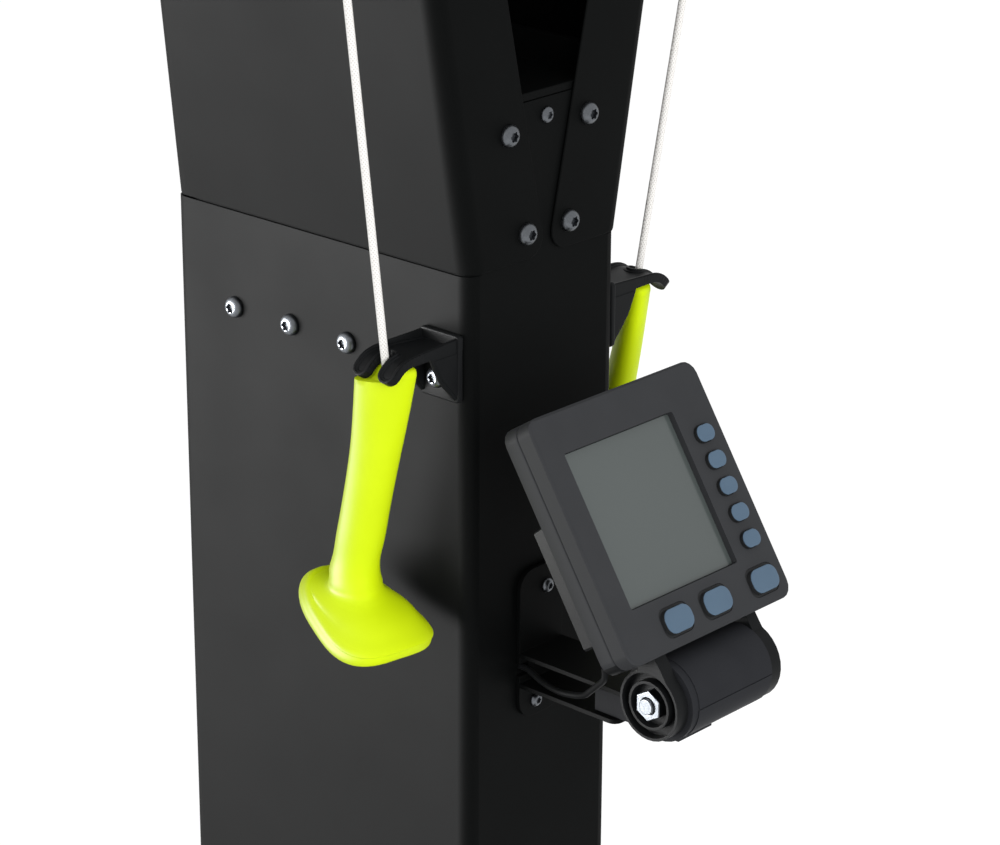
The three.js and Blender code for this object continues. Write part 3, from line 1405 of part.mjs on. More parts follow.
// Monitor cable: out of the column, along between the shelves, out to the left and up to the case
function monitorCable() {
  const points = cable_route.map(([x, y, z]) => new THREE.Vector3(x, front_y + y, seam_height + z));
  return tube(new THREE.CatmullRomCurve3(points), cable_diameter, cable_route.length * 2, arc_steps);
}

// Return bungee: a loop that hangs inside the column from the shelf to a pulley near the floor
function addBungee() {
  const top = seam_height + column_rise;
  const low = column_bottom + bungee_bottom_rise;
  const y = front_y + column_depth / 2;
  const radius = bungee_spread;
  const arc = Array.from({ length: arc_steps * 2 + 1 }, (_, i) => {
    const a = Math.PI + (Math.PI * i) / (arc_steps * 2);
    return new THREE.Vector3(radius * Math.cos(a), y, low + radius * Math.sin(a));
  });
  const points = [new THREE.Vector3(-radius, y, top), ...arc, new THREE.Vector3(radius, y, top)];
  add('return_bungee', bentTube(points, bungee_diameter, small_round_steps), bungee_cover);
  const groove = (radius - bungee_diameter / 2) * Math.cos(Math.PI / arc_steps / 4) - 2 * seat_gap;
  const half = bungee_pulley_width / 2;
  const bore = bungee_axle_radius + seat_gap;
  add('bungee_pulley', turnedY([
    [bore, -half], [radius, -half], [groove, -bungee_diameter / 2 - seat_gap],
    [groove, bungee_diameter / 2 + seat_gap], [radius, half], [bore, half], [bore, -half],
  ], 0, y, low, round_steps), black_plastic);
  const y0 = front_y + column_wall + seat_gap;
  const y1 = back_y - column_wall - seat_gap;
  add('bungee_axle', rodY(bungee_axle_radius, y0, y1, 0, low), bright_zinc);
}

// A tube through corners that lie in one plane of constant y, mitred at each corner
function bentTube(points, diameter, sides) {
  const sections = points.map((p, i) => {
    const before = i === 0 ? null : p.clone().sub(points[i - 1]).normalize();
    const after = i === points.length - 1 ? null : points[i + 1].clone().sub(p).normalize();
    const along = (before ?? after).clone().add(after ?? before).normalize();
    const stretch = before && after ? 1 / Math.sqrt((1 + before.dot(after)) / 2) : 1;
    const across = new THREE.Vector3(along.z, 0, -along.x);
    return Array.from({ length: sides }, (_, k) => {
      const a = (k * 2 * Math.PI) / sides;
      return p.clone().addScaledVector(across, (diameter / 2) * stretch * Math.cos(a))
        .add(new THREE.Vector3(0, (diameter / 2) * Math.sin(a), 0));
    });
  });
  return ringLoft(sections);
}

// A closed body over rings of points, with a fan of faces at each end
function ringLoft(rings) {
  const count = rings[0].length;
  const places = rings.flat().map((p) => p.toArray());
  const index = [];
  for (let r = 0; r + 1 < rings.length; r += 1) {
    for (let i = 0; i < count; i += 1) {
      const j = (i + 1) % count;
      const [a, b] = [r * count + i, r * count + j];
      index.push(a, b, b + count, a, b + count, a + count);
    }
  }
  const last = (rings.length - 1) * count;
  for (let i = 1; i + 1 < count; i += 1) {
    index.push(0, i + 1, i);
    index.push(last, last + i, last + i + 1);
  }
  const geometry = new THREE.BufferGeometry();
  geometry.setAttribute('position', new THREE.Float32BufferAttribute(places.flat(), 3));
  geometry.setIndex(index);
  return cleaned(geometry);
}

function addInnerCords() {
  for (const [name, side, drum_y] of cordDrums) {
    add(`inner_cord_${name}`, sweptTube(innerCord(side, drum_y), cord_diameter, arc_steps * 2), white_cord);
  }
}

// A tube whose rings stay square to the path
function sweptTube(points, diameter, sides) {
  const up = new THREE.Vector3(0, 1, 0);
  return ringLoft(points.map((p, i) => {
    const before = points[Math.max(i - 1, 0)];
    const after = points[Math.min(i + 1, points.length - 1)];
    const along = after.clone().sub(before).normalize();
    const across = new THREE.Vector3().crossVectors(up, along).normalize();
    const other = new THREE.Vector3().crossVectors(along, across);
    return Array.from({ length: sides }, (_, k) => {
      const a = (k * 2 * Math.PI) / sides;
      return p.clone().addScaledVector(across, (diameter / 2) * Math.cos(a))
        .addScaledVector(other, (diameter / 2) * Math.sin(a));
    });
  }));
}

addStand();
add('column', columnBody(), black_steel);
add('rear_gusset', rearGusset(), black_steel);
const arm = rightArm();
add('arm_right', arm, black_steel);
add('arm_left', mirrored(arm), black_steel);
flangeScrewPlaces().forEach(([x, z], i) => add(`flange_screw_${i + 1}`, flangeScrew(x, z), bright_zinc));
add('back_panel', backPanel(), black_steel);
add('inner_shelf', shelfTray(), black_steel);
addFanDrive();
addHead();
addInnerCords();
addCords();
const grip = rightHandle();
add('handle_right', grip, lime_grip);
add('handle_left', mirrored(grip), lime_grip);
const holder = rightHolder();
add('holder_right', holder, black_plastic);
add('holder_left', mirrored(holder), black_plastic);
add('monitor_bracket', monitorBracket(), black_steel);
add('pivot_barrel', pivotBarrel(), black_plastic);
addPivotBolt();
addMonitor();
add('monitor_cable', monitorCable(), rubber);
addBungee();

export default machine;
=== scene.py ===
"""Looks of a standing ski trainer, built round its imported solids.

Metres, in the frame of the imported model: +X is the machine's right hand, -Y its front, +Z up.
Places on the column are given in millimetres from the middle of its front face at the arm seam.
"""
import json
import math

import bmesh
import bpy
from mathutils import Matrix, Vector

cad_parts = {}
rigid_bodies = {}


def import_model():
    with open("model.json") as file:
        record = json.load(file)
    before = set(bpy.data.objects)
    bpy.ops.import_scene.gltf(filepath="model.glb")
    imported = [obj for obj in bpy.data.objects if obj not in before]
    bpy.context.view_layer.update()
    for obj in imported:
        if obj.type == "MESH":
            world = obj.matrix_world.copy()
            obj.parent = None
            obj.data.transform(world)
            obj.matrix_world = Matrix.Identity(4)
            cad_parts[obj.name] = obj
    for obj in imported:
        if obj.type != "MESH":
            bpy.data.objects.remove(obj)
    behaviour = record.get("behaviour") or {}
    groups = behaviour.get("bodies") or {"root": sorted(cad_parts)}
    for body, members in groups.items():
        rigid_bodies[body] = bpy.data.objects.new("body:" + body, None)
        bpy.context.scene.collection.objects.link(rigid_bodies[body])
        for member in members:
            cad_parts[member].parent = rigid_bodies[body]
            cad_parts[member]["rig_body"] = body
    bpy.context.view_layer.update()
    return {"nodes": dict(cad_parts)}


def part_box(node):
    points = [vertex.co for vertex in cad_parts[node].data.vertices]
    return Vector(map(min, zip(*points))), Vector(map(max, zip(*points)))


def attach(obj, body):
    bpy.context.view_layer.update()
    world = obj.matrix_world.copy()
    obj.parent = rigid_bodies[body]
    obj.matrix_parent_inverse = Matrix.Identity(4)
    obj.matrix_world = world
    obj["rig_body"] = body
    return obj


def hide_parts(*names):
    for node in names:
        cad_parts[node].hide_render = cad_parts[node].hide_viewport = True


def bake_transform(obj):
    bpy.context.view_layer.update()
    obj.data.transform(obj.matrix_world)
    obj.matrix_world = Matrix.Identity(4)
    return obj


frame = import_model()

# Places shared with the solids, in millimetres
FRONT_Y = 233
SEAM_Z = 1390
HALF_COLUMN = 66
PIVOT = (0, -126.5, -236.7)
MONITOR_LEAN_DEG = 32.9
MONITOR_FACE_FORWARD = 28.1
MONITOR_TOP_RISE = 178.7
CORD_OFFSET = 112
HANDLE_TOP_Z = 1343
CORD_FOOT_Y = 255.5
CORD_LEAN_OUT = 0.1657
CORD_LEAN_FRONT = 0.042
CORD_EXIT_Z = 2083.2
CORD_DIAMETER = 0.0048
CABLE_DIAMETER = 0.004

# Photographed view
CAMERA_PLACE = (-1.3935, -1.0059, 1.9867)
CAMERA_AZIMUTH_DEG = -47.556
CAMERA_ELEVATION_DEG = 20.661
CAMERA_ROLL_DEG = 0.268
CAMERA_LENS = 119.12


def spot(x, y, z):
    """A place in millimetres from the column's front face and the seam, in metres in the row frame."""
    return Vector((x, FRONT_Y + y, SEAM_Z + z)) / 1000


def add_camera():
    azimuth = math.radians(CAMERA_AZIMUTH_DEG)
    elevation = math.radians(CAMERA_ELEVATION_DEG)
    roll = math.radians(CAMERA_ROLL_DEG)
    back = Vector((
        math.sin(azimuth) * math.cos(elevation),
        -math.cos(azimuth) * math.cos(elevation),
        math.sin(elevation),
    ))
    right = Vector((math.cos(azimuth), math.sin(azimuth), 0))
    up = back.cross(right)
    camera_x = right * math.cos(roll) + up * math.sin(roll)
    camera_y = up * math.cos(roll) - right * math.sin(roll)
    data = bpy.data.cameras.new("camera")
    data.lens = CAMERA_LENS
    data.sensor_fit = "HORIZONTAL"
    data.sensor_width = 36
    data.clip_end = 60
    camera = bpy.data.objects.new("camera", data)
    turn = Matrix((camera_x, camera_y, back)).transposed().to_4x4()
    camera.matrix_world = Matrix.Translation(CAMERA_PLACE) @ turn
    bpy.context.scene.collection.objects.link(camera)
    bpy.context.scene.camera = camera


def link_mesh(name, bm, finish, sharp_deg=40):
    """Turns a bmesh into a smooth-shaded object that keeps the edges sharper than sharp_deg."""
    mesh = bpy.data.meshes.new(name)
    bm.to_mesh(mesh)
    bm.free()
    mesh.shade_smooth()
    mesh.set_sharp_from_angle(angle=math.radians(sharp_deg))
    mesh.materials.append(finish)
    piece = bpy.data.objects.new(name, mesh)
    bpy.context.scene.collection.objects.link(piece)
    return piece


def stand_for(piece, body, slot, *nodes):
    """The piece rides on its body and stands for the nodes, whose solids are hidden. The slot is not used."""
    if nodes:
        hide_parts(*nodes)
    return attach(piece, body)


# Materials

def to_linear(hex_colour):
    """An sRGB hex value as linear red, green, blue and alpha."""
    shares = [int(hex_colour[i:i + 2], 16) / 255 for i in (1, 3, 5)]
    return [s / 12.92 if s <= 0.04045 else ((s + 0.055) / 1.055) ** 2.4 for s in shares] + [1]


def add_node(tree, kind, values=None, **settings):
    """Adds a shader node; values fills its inputs with numbers, colours or other nodes' outputs."""
    made = tree.nodes.new(kind)
    for setting, value in settings.items():
        setattr(made, setting, value)
    for key, value in (values or {}).items():
        if isinstance(value, bpy.types.NodeSocket):
            tree.links.new(value, made.inputs[key])
        else:
            made.inputs[key].default_value = value
    return made


def start_material(name, **sockets):
    """A material with one shader whose plain values are on its own sockets."""
    made = bpy.data.materials.new(name)
    made.use_nodes = True
    tree = made.node_tree
    shader = tree.nodes["Principled BSDF"]
    for key, value in sockets.items():
        shader.inputs[key.replace("_", " ")].default_value = value
    return made, tree, shader


def tinted(tree, factor, dark, light):
    """A colour that varies from dark to light with the factor."""
    ramp = add_node(tree, "ShaderNodeValToRGB", {"Fac": factor})
    ramp.color_ramp.elements[0].color = to_linear(dark)
    ramp.color_ramp.elements[1].color = to_linear(light)
    return ramp.outputs["Color"]


def powder_coated_steel():
    """Black polyester powder baked on sheet steel: a fine pebble that scatters light softly."""
    made, tree, shader = start_material("powder_coated_steel", Specular_IOR_Level=0.035, IOR=1.5)
    place = add_node(tree, "ShaderNodeTexCoord").outputs["Object"]
    # Real pebble is about 0.3 mm; drawn at 0.8 mm so that it shows
    pebble = add_node(tree, "ShaderNodeTexNoise", {
        "Vector": place, "Scale": 1250, "Detail": 3, "Roughness": 0.6})
    cloud = add_node(tree, "ShaderNodeTexNoise", {"Vector": place, "Scale": 14, "Detail": 2})
    rough = add_node(tree, "ShaderNodeMapRange", {
        "Value": cloud.outputs["Fac"], "To Min": 0.52, "To Max": 0.64})
    bump = add_node(tree, "ShaderNodeBump", {
        "Height": pebble.outputs["Fac"], "Strength": 0.22, "Distance": 0.00025})
    colour = tinted(tree, pebble.outputs["Fac"], "#060707", "#0c0d0d")
    tree.links.new(colour, shader.inputs["Base Color"])
    tree.links.new(rough.outputs["Result"], shader.inputs["Roughness"])
    tree.links.new(bump.outputs["Normal"], shader.inputs["Normal"])
    return made


def moulded_finish(name, dark, light, grain_mm, grain_depth, low, high, **sockets):
    """A moulded plastic or rubber whose tool was spark-eroded: grain of a real size, shine that drifts."""
    made, tree, shader = start_material(name, **sockets)
    place = add_node(tree, "ShaderNodeTexCoord").outputs["Object"]
    grain = add_node(tree, "ShaderNodeTexNoise", {
        "Vector": place, "Scale": 1000 / grain_mm, "Detail": 2, "Roughness": 0.55})
    drift = add_node(tree, "ShaderNodeTexNoise", {"Vector": place, "Scale": 45, "Detail": 2})
    rough = add_node(tree, "ShaderNodeMapRange", {
        "Value": drift.outputs["Fac"], "To Min": low, "To Max": high})
    bump = add_node(tree, "ShaderNodeBump", {
        "Height": grain.outputs["Fac"], "Strength": 0.3, "Distance": grain_depth})
    tree.links.new(tinted(tree, drift.outputs["Fac"], dark, light), shader.inputs["Base Color"])
    tree.links.new(rough.outputs["Result"], shader.inputs["Roughness"])
    tree.links.new(bump.outputs["Normal"], shader.inputs["Normal"])
    return made


def braided_cord(name, dark, light, turns):
    """A braided sleeve: strands cross in a diamond pattern that follows the cord's own UV map."""
    made, tree, shader = start_material(name, Specular_IOR_Level=0.3, Roughness=0.75)
    way = add_node(tree, "ShaderNodeUVMap", uv_map="braid").outputs["UV"]
    strands = []
    for lean in (1, -1):
        turned = add_node(tree, "ShaderNodeMapping", {
            "Vector": way, "Rotation": (0, 0, lean * math.radians(38))})
        wave = add_node(tree, "ShaderNodeTexWave", {
            "Vector": turned.outputs["Vector"], "Scale": turns, "Distortion": 0}, wave_type="BANDS")
        strands.append(wave.outputs["Fac"])
    weave = add_node(tree, "ShaderNodeMath", {0: strands[0], 1: strands[1]}, operation="MAXIMUM")
    bump = add_node(tree, "ShaderNodeBump", {
        "Height": weave.outputs["Value"], "Strength": 0.6, "Distance": 0.0003})
    tree.links.new(tinted(tree, weave.outputs["Value"], dark, light), shader.inputs["Base Color"])
    tree.links.new(bump.outputs["Normal"], shader.inputs["Normal"])
    return made


def zinc_plate():
    """Zinc electroplate on steel: smooth, faintly blue, with fine marks that spread its shine."""
    made, tree, shader = start_material("bright_zinc_plate", Metallic=1)
    place = add_node(tree, "ShaderNodeTexCoord").outputs["Object"]
    mark = add_node(tree, "ShaderNodeTexNoise", {"Vector": place, "Scale": 900, "Detail": 3})
    rough = add_node(tree, "ShaderNodeMapRange", {
        "Value": mark.outputs["Fac"], "To Min": 0.24, "To Max": 0.42})
    tree.links.new(tinted(tree, mark.outputs["Fac"], "#55585c", "#6b6e72"), shader.inputs["Base Color"])
    tree.links.new(rough.outputs["Result"], shader.inputs["Roughness"])
    return made


def cast_aluminium():
    """Die-cast aluminium: dull grey metal with a sandy skin."""
    made, tree, shader = start_material("cast_aluminium", Metallic=1)
    place = add_node(tree, "ShaderNodeTexCoord").outputs["Object"]
    sand = add_node(tree, "ShaderNodeTexNoise", {"Vector": place, "Scale": 1400, "Detail": 4})
    bump = add_node(tree, "ShaderNodeBump", {
        "Height": sand.outputs["Fac"], "Strength": 0.35, "Distance": 0.0002})
    rough = add_node(tree, "ShaderNodeMapRange", {
        "Value": sand.outputs["Fac"], "To Min": 0.38, "To Max": 0.55})
    tree.links.new(tinted(tree, sand.outputs["Fac"], "#8b8d90", "#a7a9ac"), shader.inputs["Base Color"])
    tree.links.new(rough.outputs["Result"], shader.inputs["Roughness"])
    tree.links.new(bump.outputs["Normal"], shader.inputs["Normal"])
    return made


def display_glass():
    """Clear acrylic over a grey reflective display: flat grey, with a very faint cloud."""
    made, tree, shader = start_material(
        "acrylic_display_window", Roughness=0.22, Specular_IOR_Level=0.35,
        Coat_Weight=0.25, Coat_Roughness=0.06)
    place = add_node(tree, "ShaderNodeTexCoord").outputs["Object"]
    cloud = add_node(tree, "ShaderNodeTexNoise", {"Vector": place, "Scale": 9, "Detail": 1})
    tree.links.new(tinted(tree, cloud.outputs["Fac"], "#444a49", "#4b5150"), shader.inputs["Base Color"])
    return made


STEEL = powder_coated_steel()
DECK = moulded_finish(
    "textured_deck_board", "#222324", "#2a2b2c", 2.2, 0.0005, 0.7, 0.85, Specular_IOR_Level=0.25)
RUBBER = moulded_finish(
    "moulded_rubber", "#131313", "#1b1b1b", 1.0, 0.0003, 0.7, 0.85, Specular_IOR_Level=0.25)
BLACK_NYLON = moulded_finish(
    "black_moulded_nylon", "#141516", "#1b1c1d", 0.9, 0.0002, 0.34, 0.46, Specular_IOR_Level=0.05)
# Barrel: a lighter copy of the black nylon; the lift in its base colour is painted highlight for the light
# along the barrel's top.
BARREL_NYLON_PAINTED_HIGHLIGHT = moulded_finish(
    "barrel_nylon_painted_highlight", "#26272a", "#2c2d30", 0.9, 0.0002, 0.4, 0.52, Specular_IOR_Level=0.02)
MONITOR_ABS = moulded_finish(
    "charcoal_moulded_abs", "#353638", "#3a3b3d", 0.7, 0.00015, 0.5, 0.6, Specular_IOR_Level=0.02)
BUTTON = moulded_finish(
    "slate_silicone_button", "#465a6d", "#506578", 0.6, 0.0001, 0.5, 0.6, Specular_IOR_Level=0.3)
# Painted shade: the dark colour of the buttons' skirts stands in for the shade in the pockets round the caps.
BUTTON_POCKET_SHADE = moulded_finish(
    "button_skirt_painted_shade", "#1c1d1e", "#232425", 0.6, 0.0001, 0.5, 0.6, Specular_IOR_Level=0.2)
LIME = moulded_finish(
    "lime_thermoplastic_rubber", "#cfe708", "#d6ee0e", 0.8, 0.0001, 0.44, 0.54, Specular_IOR_Level=0.16)
GLASS = display_glass()
WHITE_BRAID = braided_cord("white_braided_polyester", "#cfccc6", "#f8f6f3", 0.2)
BLACK_BRAID = braided_cord("black_braided_sleeve", "#101010", "#2a2a2c", 0.16)
ZINC = zinc_plate()
ALUMINIUM = cast_aluminium()
FINISHES = {
    "black_steel": STEEL,
    "deck_board": DECK,
    "rubber": RUBBER,
    "black_plastic": BLACK_NYLON,
    "monitor_plastic": MONITOR_ABS,
    "button_rubber": BUTTON,
    "lcd_glass": GLASS,
    "lime_grip": LIME,
    "white_cord": WHITE_BRAID,
    "bright_zinc": ZINC,
    "grey_aluminium": ALUMINIUM,
    "bungee_cover": BLACK_BRAID,
}


# Cords

def braided_tube(name, points, diameter, finish, sides=16):
    """A round cord along the points, with a UV map in millimetres: u round it, v along it."""
    curve = bpy.data.curves.new(name, "CURVE")
    curve.dimensions = "3D"
    curve.bevel_depth = diameter / 2
    curve.bevel_resolution = sides // 4 - 1
    curve.use_fill_caps = True
    spline = curve.splines.new("POLY")
    spline.points.add(len(points) - 1)
    for knot, place in zip(spline.points, points):
        knot.co = (*place, 1)
    drawn = bpy.data.objects.new(name, curve)
    bpy.context.scene.collection.objects.link(drawn)
    mesh = bpy.data.meshes.new_from_object(drawn.evaluated_get(bpy.context.evaluated_depsgraph_get()))
    bpy.data.objects.remove(drawn)
    bm = bmesh.new()
    bm.from_mesh(mesh)
    bmesh.ops.remove_doubles(bm, verts=bm.verts, dist=1e-6)
    lengths = [0]
    for a, b in zip(points, points[1:]):
        lengths.append(lengths[-1] + (b - a).length)
    layer = bm.loops.layers.uv.get("braid") or bm.loops.layers.uv.new("braid")
    girth = math.pi * diameter
    for face in bm.faces:
        near = min(range(len(points) - 1), key=lambda i: (
            (points[i] + points[i + 1]) / 2 - face.calc_center_median()).length)
        axis = (points[near + 1] - points[near]).normalized()
        side = axis.cross(Vector((0, 1, 0.1))).normalized()
        other = axis.cross(side)
        out = face.calc_center_median() - points[near]
        middle = math.atan2(out.dot(other), out.dot(side))
        for loop in face.loops:
            reach = loop.vert.co - points[near]
            turn = math.atan2(reach.dot(other), reach.dot(side))
            turn += 2 * math.pi * round((middle - turn) / (2 * math.pi))
            along = lengths[near] + reach.dot(axis)
            loop[layer].uv = (turn / (2 * math.pi) * girth * 1000, along * 1000)
    return link_mesh(name, bm, finish, 60)


def cord_point(side, z):
    """The middle of a drive cord at a height in millimetres."""
    rise = z - HANDLE_TOP_Z
    return Vector((
        side * (CORD_OFFSET + CORD_LEAN_OUT * rise),
        CORD_FOOT_Y - CORD_LEAN_FRONT * rise,
        z,
    )) / 1000


def add_drive_cord(name, side):
    """White cord from the head down into the handle's top."""
    points = [cord_point(side, CORD_EXIT_Z), cord_point(side, HANDLE_TOP_Z - 3)]
    piece = braided_tube(f"drive_cord_{name}", points, CORD_DIAMETER, WHITE_BRAID)
    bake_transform(piece)
    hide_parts(f"cord_{name}")


def smooth_route(knots, steps):
    """Points on a smooth curve through the knots."""
    route = []
    for i in range(len(knots) - 1):
        a, b = knots[i], knots[i + 1]
        before = knots[max(i - 1, 0)]
        after = knots[min(i + 2, len(knots) - 1)]
        for step in range(steps):
            t = step / steps
            route.append(0.5 * (
                2 * a + (b - before) * t + (2 * before - 5 * a + 4 * b - after) * t ** 2
                + (3 * a - before - 3 * b + after) * t ** 3))
    return route + [knots[-1]]


MONITOR_CABLE_KNOTS = [
    (-19, 7, -261), (-19, 0, -261), (-19.4, -7, -261.2), (-22, -17, -262.9), (-26, -29, -262.8),
    (-32, -44, -259.9), (-38, -59, -255), (-44, -73, -248.6), (-48.5, -82, -241.5),
    (-54, -93.5, -231.4), (-59, -102, -223.5), (-62, -104.3, -214.5),
]


def add_monitor_cable():
    """Black cable from a hole in the column, past the pivot and up to the monitor."""
    points = smooth_route([spot(*knot) for knot in MONITOR_CABLE_KNOTS], 3)
    piece = braided_tube("monitor_lead", points, CABLE_DIAMETER, BLACK_NYLON)
    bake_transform(piece)
    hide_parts("monitor_cable")


# Pieces shaped from the solids

def finished_copy(node, round_mm=0.6, segments=2, sharp_deg=38, reshape=None):
    """A welded copy of a solid with its edges rounded and its flats kept flat."""
    source = frame["nodes"][node]
    slot = source.data.materials[0].name
    bm = bmesh.new()
    bm.from_mesh(source.data)
    bmesh.ops.remove_doubles(bm, verts=bm.verts, dist=2e-6)
    bmesh.ops.dissolve_limit(
        bm, angle_limit=math.radians(0.4), verts=bm.verts, edges=bm.edges, use_dissolve_boundaries=False)
    if reshape:
        bmesh.ops.transform(bm, matrix=MONITOR_PLACE.inverted(), verts=bm.verts)
        for vert in bm.verts:
            reshape(vert.co)
        bmesh.ops.transform(bm, matrix=MONITOR_PLACE, verts=bm.verts)
    piece = link_mesh(f"{node}_finish", bm, FINISHES[slot], sharp_deg)
    if round_mm:
        rounding = piece.modifiers.new("rounding", "BEVEL")
        rounding.width = round_mm / 1000
        rounding.segments = segments
        rounding.limit_method = "ANGLE"
        rounding.angle_limit = math.radians(sharp_deg)
        rounding.use_clamp_overlap = True
    weighted = piece.modifiers.new("weighted", "WEIGHTED_NORMAL")
    weighted.keep_sharp = True
    return stand_for(piece, source["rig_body"], slot, node)


# Monitor

MONITOR_TURN = Matrix.Rotation(-math.radians(MONITOR_LEAN_DEG), 4, "X")
# Millimetres in the monitor's own frame to metres in the row frame
MONITOR_PLACE = Matrix.Translation(spot(*PIVOT)) @ MONITOR_TURN @ Matrix.Scale(0.001, 4)
MONITOR_FACE_Y = -MONITOR_FACE_FORWARD
MONITOR_HALF_WIDTH = 75
PANE_SINK = 1.6
# Pivot ears reach this far from the pivot; the case's back lies this deep behind its face
EAR_REACH = 33
CASE_DEPTH = 25
BULGE_SHARE = 0.5
# Buttons of the side column, from the case's top right corner, and of the bottom row, from its top left one
SIDE_BUTTON_INSET = 18.1
SIDE_BUTTON_DROP = 44.9
SIDE_BUTTON_PITCH = 17.2
BOTTOM_BUTTON_INSETS = (48.3, 84, 128.4)
BOTTOM_BUTTON_DROP = 139
# Button: width, height, corner radius and height over the case's face, from skirt foot to cap face
SIDE_BUTTON_RINGS = [
    (15.8, 11.2, 5.4, -2.8), (15.8, 11.2, 5.4, -0.4), (15, 10.4, 5, -0.2), (15, 10.4, 5, 2.5),
    (14.7, 10.1, 4.85, 2.85), (14, 9.4, 4.5, 3), (12, 7.4, 3.6, 3.05),
]
BOTTOM_BUTTON_RINGS = [
    (25.4, 17.8, 5.2, -2.8), (25.4, 17.8, 5.2, -0.4), (24.2, 15.6, 6.4, -0.3), (23.6, 14.9, 6.4, 2.5),
    (23.3, 14.6, 6.25, 2.85), (22.6, 13.9, 5.9, 3), (20, 11.4, 5, 3.05),
]


def rounded_ring(bm, x, z, width, height, corner, rise, steps=10):
    """A closed ring of a rounded rectangle on the monitor's face, in the monitor's own frame."""
    verts = []
    for sign_x, sign_z, start in ((1, 1, 0), (-1, 1, 90), (-1, -1, 180), (1, -1, 270)):
        middle = (x + sign_x * (width / 2 - corner), z + sign_z * (height / 2 - corner))
        verts += [bm.verts.new((u, MONITOR_FACE_Y - rise, v))
                  for u, v in arc_points(*middle, corner, start, start + 90, steps)]
    return [bm.edges.new(pair) for pair in zip(verts, verts[1:] + verts[:1])]


def add_button(node, x, z, profile):
    """Silicone button: a slate face on a skirt that rises out of the case's pocket; the skirt is coloured
    dark as painted shade of the pocket.
    """
    bm = bmesh.new()
    rings = [rounded_ring(bm, x, z, *row) for row in profile]
    for below, above in zip(rings, rings[1:]):
        bmesh.ops.bridge_loops(bm, edges=below + above)
    for ring in (rings[0], rings[-1]):
        bmesh.ops.edgeloop_fill(bm, edges=ring)
    bmesh.ops.recalc_face_normals(bm, faces=bm.faces)
    face_y = MONITOR_FACE_Y - profile[3][3] - 0.01
    # Faces behind the cap's face take the dark skirt colour, painted shade of the pocket.
    for face in bm.faces:
        face.material_index = 0 if face.calc_center_median().y < face_y else 1
    bmesh.ops.transform(bm, matrix=MONITOR_PLACE, verts=bm.verts)
    piece = link_mesh(f"{node}_cap", bm, BUTTON, 30)
    piece.data.materials.append(BUTTON_POCKET_SHADE)
    stand_for(piece, node, "button_rubber", node)


def add_buttons():
    for row in range(5):
        z = MONITOR_TOP_RISE - SIDE_BUTTON_DROP - row * SIDE_BUTTON_PITCH
        add_button(f"side_button_{row + 1}", MONITOR_HALF_WIDTH - SIDE_BUTTON_INSET, z, SIDE_BUTTON_RINGS)
    z = MONITOR_TOP_RISE - BOTTOM_BUTTON_DROP
    for number, inset in enumerate(BOTTOM_BUTTON_INSETS, start=1):
        add_button(f"bottom_button_{number}", inset - MONITOR_HALF_WIDTH, z, BOTTOM_BUTTON_RINGS)


def sunk_glass(place):
    """The pane's face lies deeper in its frame."""
    if place.y < MONITOR_FACE_Y + 3:
        place.y += PANE_SINK


def black_ears_and_painted_back_shade(piece):
    """The pivot ears and the boxed-out back are moulded with the case. The ears look as black as the bracket;
    the boxed-out back is coloured black as painted shade, where it lies in shadow.
    """
    piece.data.materials.append(BLACK_NYLON)
    back = MONITOR_PLACE.inverted()
    for face in piece.data.polygons:
        middle = back @ face.center
        is_ear = math.hypot(middle.y, middle.z) < EAR_REACH
        # The ears take the black as their own colour; the boxed-out back behind the case takes it as painted
        # shade.
        if is_ear or middle.y > MONITOR_FACE_Y + CASE_DEPTH + 2:
            face.material_index = 1


def squarer_bulge(place):
    """The boxed-out back is shallower, ends in a steep step at its top and starts a little higher."""
    deep = place.y - MONITOR_FACE_Y - CASE_DEPTH
    rise = place.z - (MONITOR_TOP_RISE - 154.3)
    if deep > 1 and 80 < rise < 92:
        place.z += 6
    if deep > -3.5 and 12.5 < rise < 17 and abs(place.x) > 60:
        place.z += 5
    if deep > 2 and math.hypot(place.y, place.z) > EAR_REACH + 3:
        place.y -= (deep - 2) * BULGE_SHARE


# Handles

# Shares of the length and the set-back, half axes of the grip's oval, size of the plate, turn towards it
GRIP_SECTIONS = [
    (0, 0, 0.78, 0.34, 0, 0), (0.01, 0, 0.93, 0.43, 0, 0), (0.03, 0.01, 0.965, 0.46, 0, 0),
    (0.034, 0.014, 0.963, 0.46, 0, 0), (0.036, 0.017, 0.962, 0.46, 0, 0), (0.14, 0.126, 0.903, 0.464, 0, 0),
    (0.25, 0.26, 0.84, 0.49, 0, 0), (0.36, 0.42, 0.8, 0.527, 0, 0), (0.49, 0.62, 0.785, 0.583, 0, 0),
    (0.62, 0.82, 0.785, 0.655, 0, 0), (0.708, 0.97, 0.771, 0.74, 0.45, 0.1),
    (0.751, 0.96, 0.781, 0.85, 0.43, 0.25), (0.785, 0.932, 0.967, 1, 0.39, 0.5),
    (0.814, 0.764, 1.72, 1.38, 0.764, 0.8), (0.833, 0.61, 0, 0, 0.93, 1), (0.844, 0.685, 0, 0, 0.976, 1),
    (0.855, 0.738, 0, 0, 1, 1), (0.872, 0.774, 0, 0, 0.99, 1), (0.884, 0.79, 0, 0, 0.933, 1),
]
GRIP_LENGTH = 186
GRIP_SET_BACK = 28
GRIP_RADIUS = 18.6
PLATE_TILT_DEG = 17
PLATE_TURN_DEG = 10.7
PLATE_HALF_WIDTH = 33.2
PLATE_HALF_DEPTH = 44.6
OVAL_TURN_DEG = 45
PLATE_SAG = 6.4
PLATE_TAPER = 0.11
PLATE_SQUARENESS = 2.7
# Seat of the holder's fingers in the grip's top: its start and ramp in X, its half width and ramp in Y
SEAT_START_X = 112
SEAT_RAMP_X = 6
SEAT_HALF_WIDTH = 16.4
SEAT_RAMP_Y = 1.2
SEAT_DEPTH = 6.6


def mix(a, b, share):
    return a + (b - a) * share


def ease(share):
    """A share held between 0 and 1, eased at both ends."""
    share = min(1, max(0, share))
    return share * share * (3 - 2 * share)


